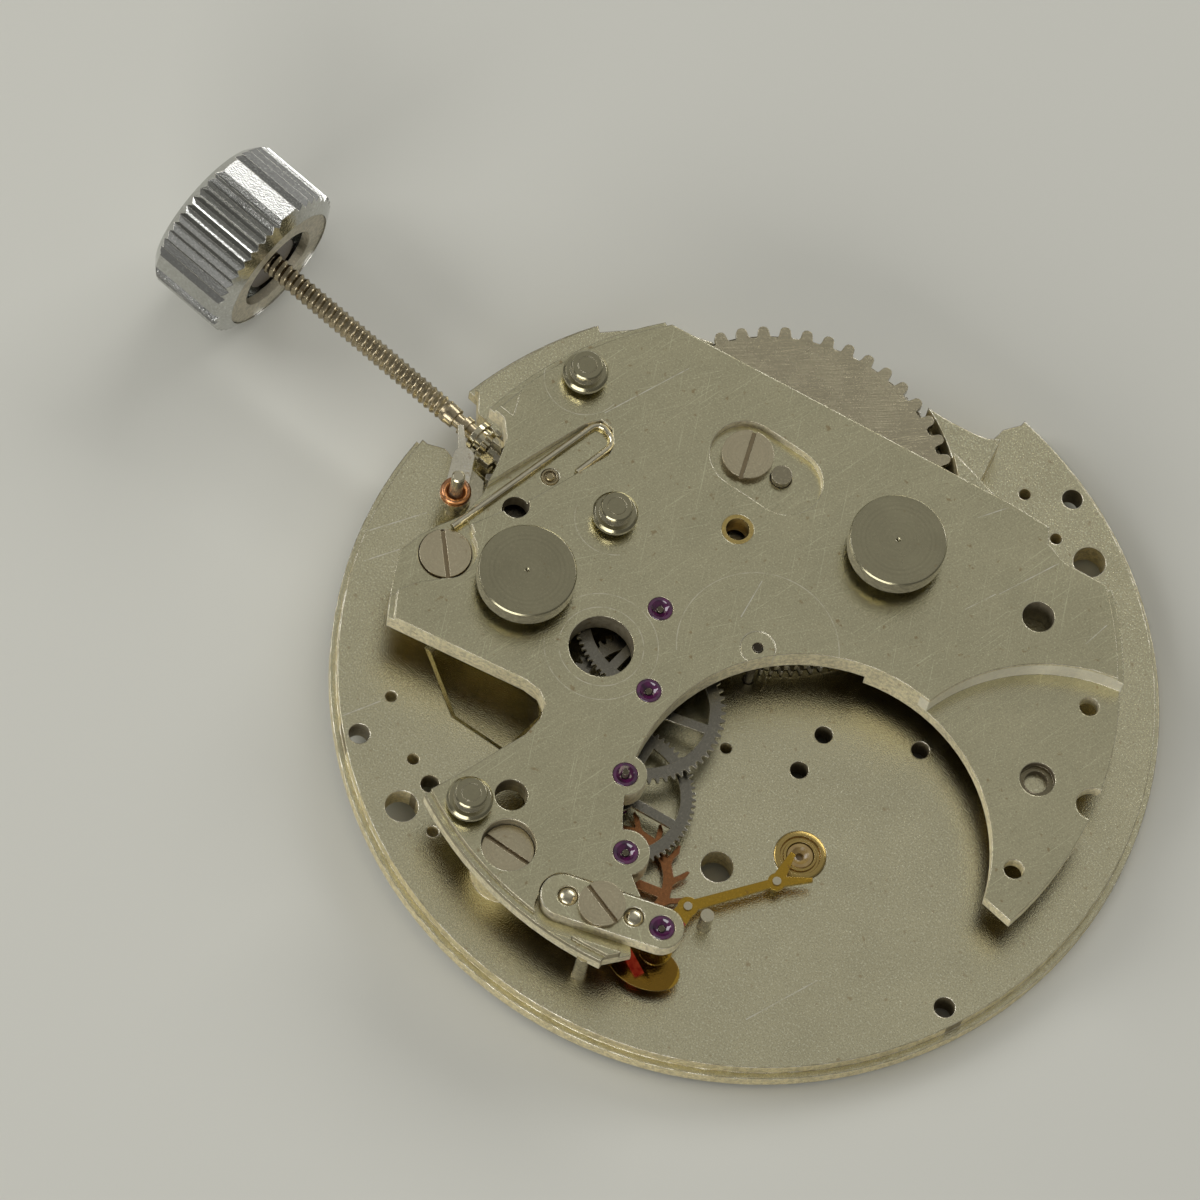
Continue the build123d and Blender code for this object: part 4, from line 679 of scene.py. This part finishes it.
wing_long_r, wing_short_r, wing_turn = 1.42 * mm, 0.93 * mm, 18
wing_rim, wing_sink = 0.16 * mm, 0.05 * mm
wing = disc("lever_wing", at(stone_wing_shares), wing_long_r, wing_short_r, wing_turn, lever_low,
            lever_high)
for face in wing.data.polygons:
    face.select = face.normal.z > 0.9
bpy.ops.object.mode_set(mode="EDIT")
bpy.ops.mesh.inset(thickness=wing_rim, depth=-wing_sink)
bpy.ops.object.mode_set(mode="OBJECT")
staff_place, neck_place, crotch_place = at(staff_shares), at(neck_shares), at(crotch_shares)
hub_r, neck_boss_r, fork_boss_r = 0.62 * mm, 0.38 * mm, 0.33 * mm
lever_pieces = [wing,
                disc("lever_hub", staff_place, hub_r, hub_r, 0, lever_low, lever_high),
                bar("lever_neck", staff_place, neck_place, 0.95 * mm, 0.62 * mm, lever_low, lever_high),
                disc("lever_boss", neck_place, neck_boss_r, neck_boss_r, 0, lever_low, lever_high),
                bar("lever_arm", neck_place, crotch_place, 0.42 * mm, 0.3 * mm, lever_low, lever_high),
                disc("fork_boss", crotch_place, fork_boss_r, fork_boss_r, 0, lever_low, lever_high),
                bar("left_horn", crotch_place, at(left_horn_shares), 0.5 * mm, 0.2 * mm, lever_low,
                    lever_high),
                bar("right_horn", crotch_place, at(right_horn_shares), 0.42 * mm, 0.14 * mm, lever_low,
                    lever_high)]
# The floor of the wing's hollow is painted dark brown: painted shade in the hollow.
hollow_shade_brass = (0.16, 0.08, 0.015)
wing_hollow_r = 1.24 * mm
hollow_lip = 0.03 * mm
wing_hollow = lower_part(at(stone_wing_shares), wing_hollow_r, lever_high - hollow_lip)
lever_brass = plated_metal("lever_brass", (0.47, 0.29, 0.04), (0.80, 0.56, 0.10), 0.15, edge=0.02 * mm,
                           grain_share=0.2, stain=0.7, edge_line_and_highlight=0.2, marks=[(wing_hollow, hollow_shade_brass)])
sheet_break = 0.03 * mm
finish_piece(united("pallet_lever", lever_pieces, sheet_break), lever_brass, "pallet", "brass",
             "pallet_fork")
red_stone = clear_stone("red_stone", (0.22, 0.008, 0.006), (0.42, 0.05, 0.02), 0.08)
dress(["pallet_stones"], red_stone)

# Keyless works: the setting lever is a hardened steel bar, polished all over with broken
# edges and bent toward the stem, under a reddish copper ring on its tall post. The yoke,
# the clutch and the winding pinion are steel, and the yoke's spring is polished wire.
lever_pivot_shares = (0.805, 0.165)
elbow_shares = (0.853, 0.082)
stem_end_shares = (0.917, 0.019)
keyless_low, nose_high, keyless_high = 2.32 * mm, 2.6 * mm, 2.77 * mm
pivot_place, elbow_place = at(lever_pivot_shares), at(elbow_shares)
elbow_r, setting_boss_r = 0.4 * mm, 0.6 * mm
setting_pieces = [bar("setting_arm", pivot_place, elbow_place, 0.86 * mm, 0.8 * mm, keyless_low,
                      keyless_high),
                  bar("setting_nose", elbow_place, at(stem_end_shares), 0.36 * mm, 0.2 * mm,
                      keyless_low, nose_high),
                  disc("setting_elbow", elbow_place, elbow_r, elbow_r, 0, keyless_low, keyless_high),
                  disc("setting_boss", pivot_place, setting_boss_r, setting_boss_r, 0, keyless_low,
                       keyless_high)]
keyless_steel = plated_metal("keyless_steel", (0.58, 0.53, 0.37), (0.45, 0.40, 0.27), 0.15, grain_share=0.2,
                             edge=0.04 * mm, spots=0.5, stain=0.3)
# The setting lever's top is painted near white: a painted highlight on its polished steel.
lever_polish_and_highlight = plated_metal("lever_polish_and_highlight", (0.84, 0.79, 0.62), (0.60, 0.54, 0.38), 0.2, grain_share=0.2,
                            edge=0.02 * mm, spots=0.4, stain=0.3)
lever_break = 0.13 * mm
finish_piece(united("bent_setting_lever", setting_pieces, lever_break), lever_polish_and_highlight, "lever",
             "polished_steel", "setting_lever")
dress(["yoke", "winding_pinion", "sliding_clutch"], keyless_steel)
lever_post_low, lever_post_top, lever_post_r = 0.3 * mm, 4.25 * mm, 0.25 * mm
post_profile = [(lever_post_r, lever_post_low), (lever_post_r, lever_post_top - 0.06 * mm),
                (lever_post_r - 0.06 * mm, lever_post_top), (0.03 * mm, lever_post_top)]
finish_piece(turned_piece("tall_post", pivot_place, post_profile, 48), bright_steel, "movement",
             "polished_steel", "setting_lever_post")
spring_steel = plated_metal("spring_steel", (0.72, 0.66, 0.48), (0.66, 0.58, 0.38), 0.13, grain_share=0.15,
                            edge=0.02 * mm, edge_line_and_highlight=0.2, wall_share=1.0, tarnished=0.2)
dress(["yoke_spring"], spring_steel)
ring_profile = [(0.52 * mm, 2.8 * mm), (0.575 * mm, 2.84 * mm), (0.578 * mm, 2.9 * mm),
                (0.55 * mm, 2.96 * mm), (0.49 * mm, 3.0 * mm), (0.42 * mm, 2.99 * mm),
                (0.34 * mm, 2.93 * mm), (0.28 * mm, 2.84 * mm), (0.26 * mm, 2.81 * mm)]
bush_copper = plated_metal("bush_copper", (0.52, 0.25, 0.12), (0.50, 0.22, 0.09), 0.22, edge=0.02 * mm,
                           grain_share=0.2, stain=0.4)
finish_piece(turned_piece("copper_ring", pivot_place, ring_profile), bush_copper, "movement", "copper",
             "setting_lever_bush")

# Winding stem: steel, turned in steps, with a groove for the lever and a long screw thread
# on which the crown is run up.
stem_height = 2.0 * mm
thread_start = 15.12 * mm
thread_pitch = 0.28 * mm
thread_crest_r = 0.45 * mm
thread_core_r = 0.37 * mm
ridge_r = 0.1 * mm
ridge_stretch = 2.6
stem_low, stem_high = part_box("winding_stem")
pilot_r, clutch_seat_r, pinion_seat_r = 0.22 * mm, 0.26 * mm, 0.3 * mm
shoulder_r, groove_r, body_r = 0.4 * mm, 0.28 * mm, 0.42 * mm
stem_steps = [(0.2 * mm, stem_low.x), (pilot_r, stem_low.x + 0.03 * mm), (pilot_r, 11.2 * mm),
              (clutch_seat_r, 11.2 * mm), (clutch_seat_r, 12.88 * mm), (pinion_seat_r, 12.88 * mm),
              (pinion_seat_r, 14.04 * mm), (shoulder_r, 14.04 * mm), (shoulder_r, 14.3 * mm),
              (groove_r, 14.33 * mm), (groove_r, 14.62 * mm), (shoulder_r, 14.64 * mm),
              (shoulder_r, 14.9 * mm), (body_r, 14.95 * mm), (body_r, thread_start),
              (thread_core_r, thread_start + 0.12 * mm), (thread_core_r, stem_high.x - 0.02 * mm),
              (thread_core_r - 0.05 * mm, stem_high.x)]
stem_core = turned_piece("stem_core", (0, 0), stem_steps, 48)
stem_core.rotation_euler = (0, radians(90), 0)
stem_core.location = (0, 0, stem_height)
bpy.ops.object.transform_apply(location=True, rotation=True, scale=True)
bpy.ops.object.select_all(action="DESELECT")
bpy.ops.mesh.primitive_circle_add(vertices=3, radius=ridge_r, rotation=(radians(90), 0, 0),
                                  location=(thread_start, 0, thread_crest_r - ridge_r))
ridge = bpy.context.object
ridge.name = "thread_ridge"
ridge.scale = (ridge_stretch, 1, 1)
bpy.ops.object.transform_apply(location=True, rotation=True, scale=True)
ridge_turns = int((stem_high.x - thread_start - thread_pitch) / thread_pitch)
winding = ridge.modifiers.new("thread", "SCREW")
winding.axis = "X"
winding.angle = 2 * pi
winding.screw_offset = thread_pitch
winding.iterations = ridge_turns
winding.steps = 24
winding.render_steps = 24
bpy.ops.object.modifier_apply(modifier="thread")
ridge.location = (0, 0, stem_height)
bpy.ops.object.transform_apply(location=True, rotation=True, scale=True)
bpy.ops.object.mode_set(mode="EDIT")
bpy.ops.mesh.select_all(action="SELECT")
bpy.ops.mesh.fill_holes(sides=3)
bpy.ops.mesh.normals_make_consistent(inside=False)
bpy.ops.object.mode_set(mode="OBJECT")
bpy.ops.object.shade_smooth_by_angle(angle=radians(32))
thread_colour = (0.40, 0.335, 0.215)
threaded_steel = plated_metal("threaded_steel", thread_colour, thread_colour, 0.27, grain_share=0.35,
                              edge=0.01 * mm, spots=0.5, stain=0.5, edge_line_and_highlight=0.1)
finish_piece(joined("threaded_stem", [stem_core, ridge]), threaded_steel, "stem", "polished_steel",
             "winding_stem")

# Crown: turned from brass, fluted in four groups and brightly plated, with a copper core for
# the thread and a pale sealing ring inside its dark hollow.
plating, seal_ring = (0.56, 0.56, 0.53), (0.50, 0.45, 0.33)
bright_plating = plated_metal("bright_plating", plating, plating, 0.13, edge=0.03 * mm,
                              grain_share=0.25, spots=0.3, edge_line_and_highlight=0.3, wall_share=1.0, tarnished=0.12)
dress(["crown"], bright_plating)
pale_ring = plated_metal("pale_ring", seal_ring, seal_ring, 0.5, metal=0.1, edge=0.06 * mm)
dress(["crown_gasket"], pale_ring)
# The copper core is painted near black: painted shade deep in the crown's hollow.
shaded_core_copper = plated_metal("shaded_core_copper", (0.10, 0.06, 0.035), (0.08, 0.05, 0.03), 0.3, edge=0.04 * mm)
dress(["crown_core"], shaded_core_copper)

# Floor, light and camera: a pale card under soft studio light, seen from the balance side.
# The movement rests on its crown and on the far rim.
floor_tilt, floor_size, floor_height = 1.76, 1.6, -0.5 * mm
bpy.ops.object.select_all(action="DESELECT")
bpy.ops.mesh.primitive_plane_add(size=floor_size, location=(0, 0, 0))
floor = bpy.context.object
floor.name = "floor"
floor.rotation_euler = (0, radians(floor_tilt), 0)
floor.location = (0, 0, floor_height)
card = bpy.data.materials.new("pale_card")
card.use_nodes = True
card_shader = card.node_tree.nodes["Principled BSDF"]
card_shader.inputs["Base Color"].default_value = (0.60, 0.595, 0.535, 1)
card_shader.inputs["Roughness"].default_value = 0.8
floor.data.materials.append(card)

world = bpy.data.worlds.new("studio")
bpy.context.scene.world = world
world.use_nodes = True
sky = world.node_tree.nodes["Background"]
sky.inputs["Color"].default_value = (1, 0.99, 0.95, 1)
sky.inputs["Strength"].default_value = 0.2


def softbox(name, place, wide, high, power):
    """A wide soft light aimed at the middle of the movement."""
    bpy.ops.object.light_add(type="AREA", location=place)
    lamp = bpy.context.object
    lamp.name = name
    lamp.data.shape = "RECTANGLE"
    lamp.data.size = wide
    lamp.data.size_y = high
    lamp.data.energy = power
    lamp.rotation_euler = (Vector((0, 0, 0)) - lamp.location).to_track_quat("-Z", "Y").to_euler()


softbox("ceiling", (0.08, -0.17, 0.44), wide=0.5, high=0.5, power=0.17)
softbox("front_box", (-0.08, 0.42, 0.18), wide=0.4, high=0.2, power=1.15)
softbox("side_box", (0.36, 0.14, 0.24), wide=0.3, high=0.2, power=0.85)
softbox("back_box", (0.05, -0.42, 0.26), wide=0.4, high=0.16, power=0.95)

camera_data = bpy.data.cameras.new("camera")
camera = bpy.data.objects.new("camera", camera_data)
bpy.context.scene.collection.objects.link(camera)
camera.location = (-40.17 * mm, 87.0 * mm, 220.13 * mm)
camera.rotation_euler = (radians(23.306), radians(-5.639), radians(-138.755))
camera_data.sensor_width = 36
camera_data.lens = 193.6
camera_data.clip_start = 0.01
camera_data.clip_end = 5
bpy.context.scene.camera = camera
bpy.context.scene.view_settings.view_transform = "Standard"
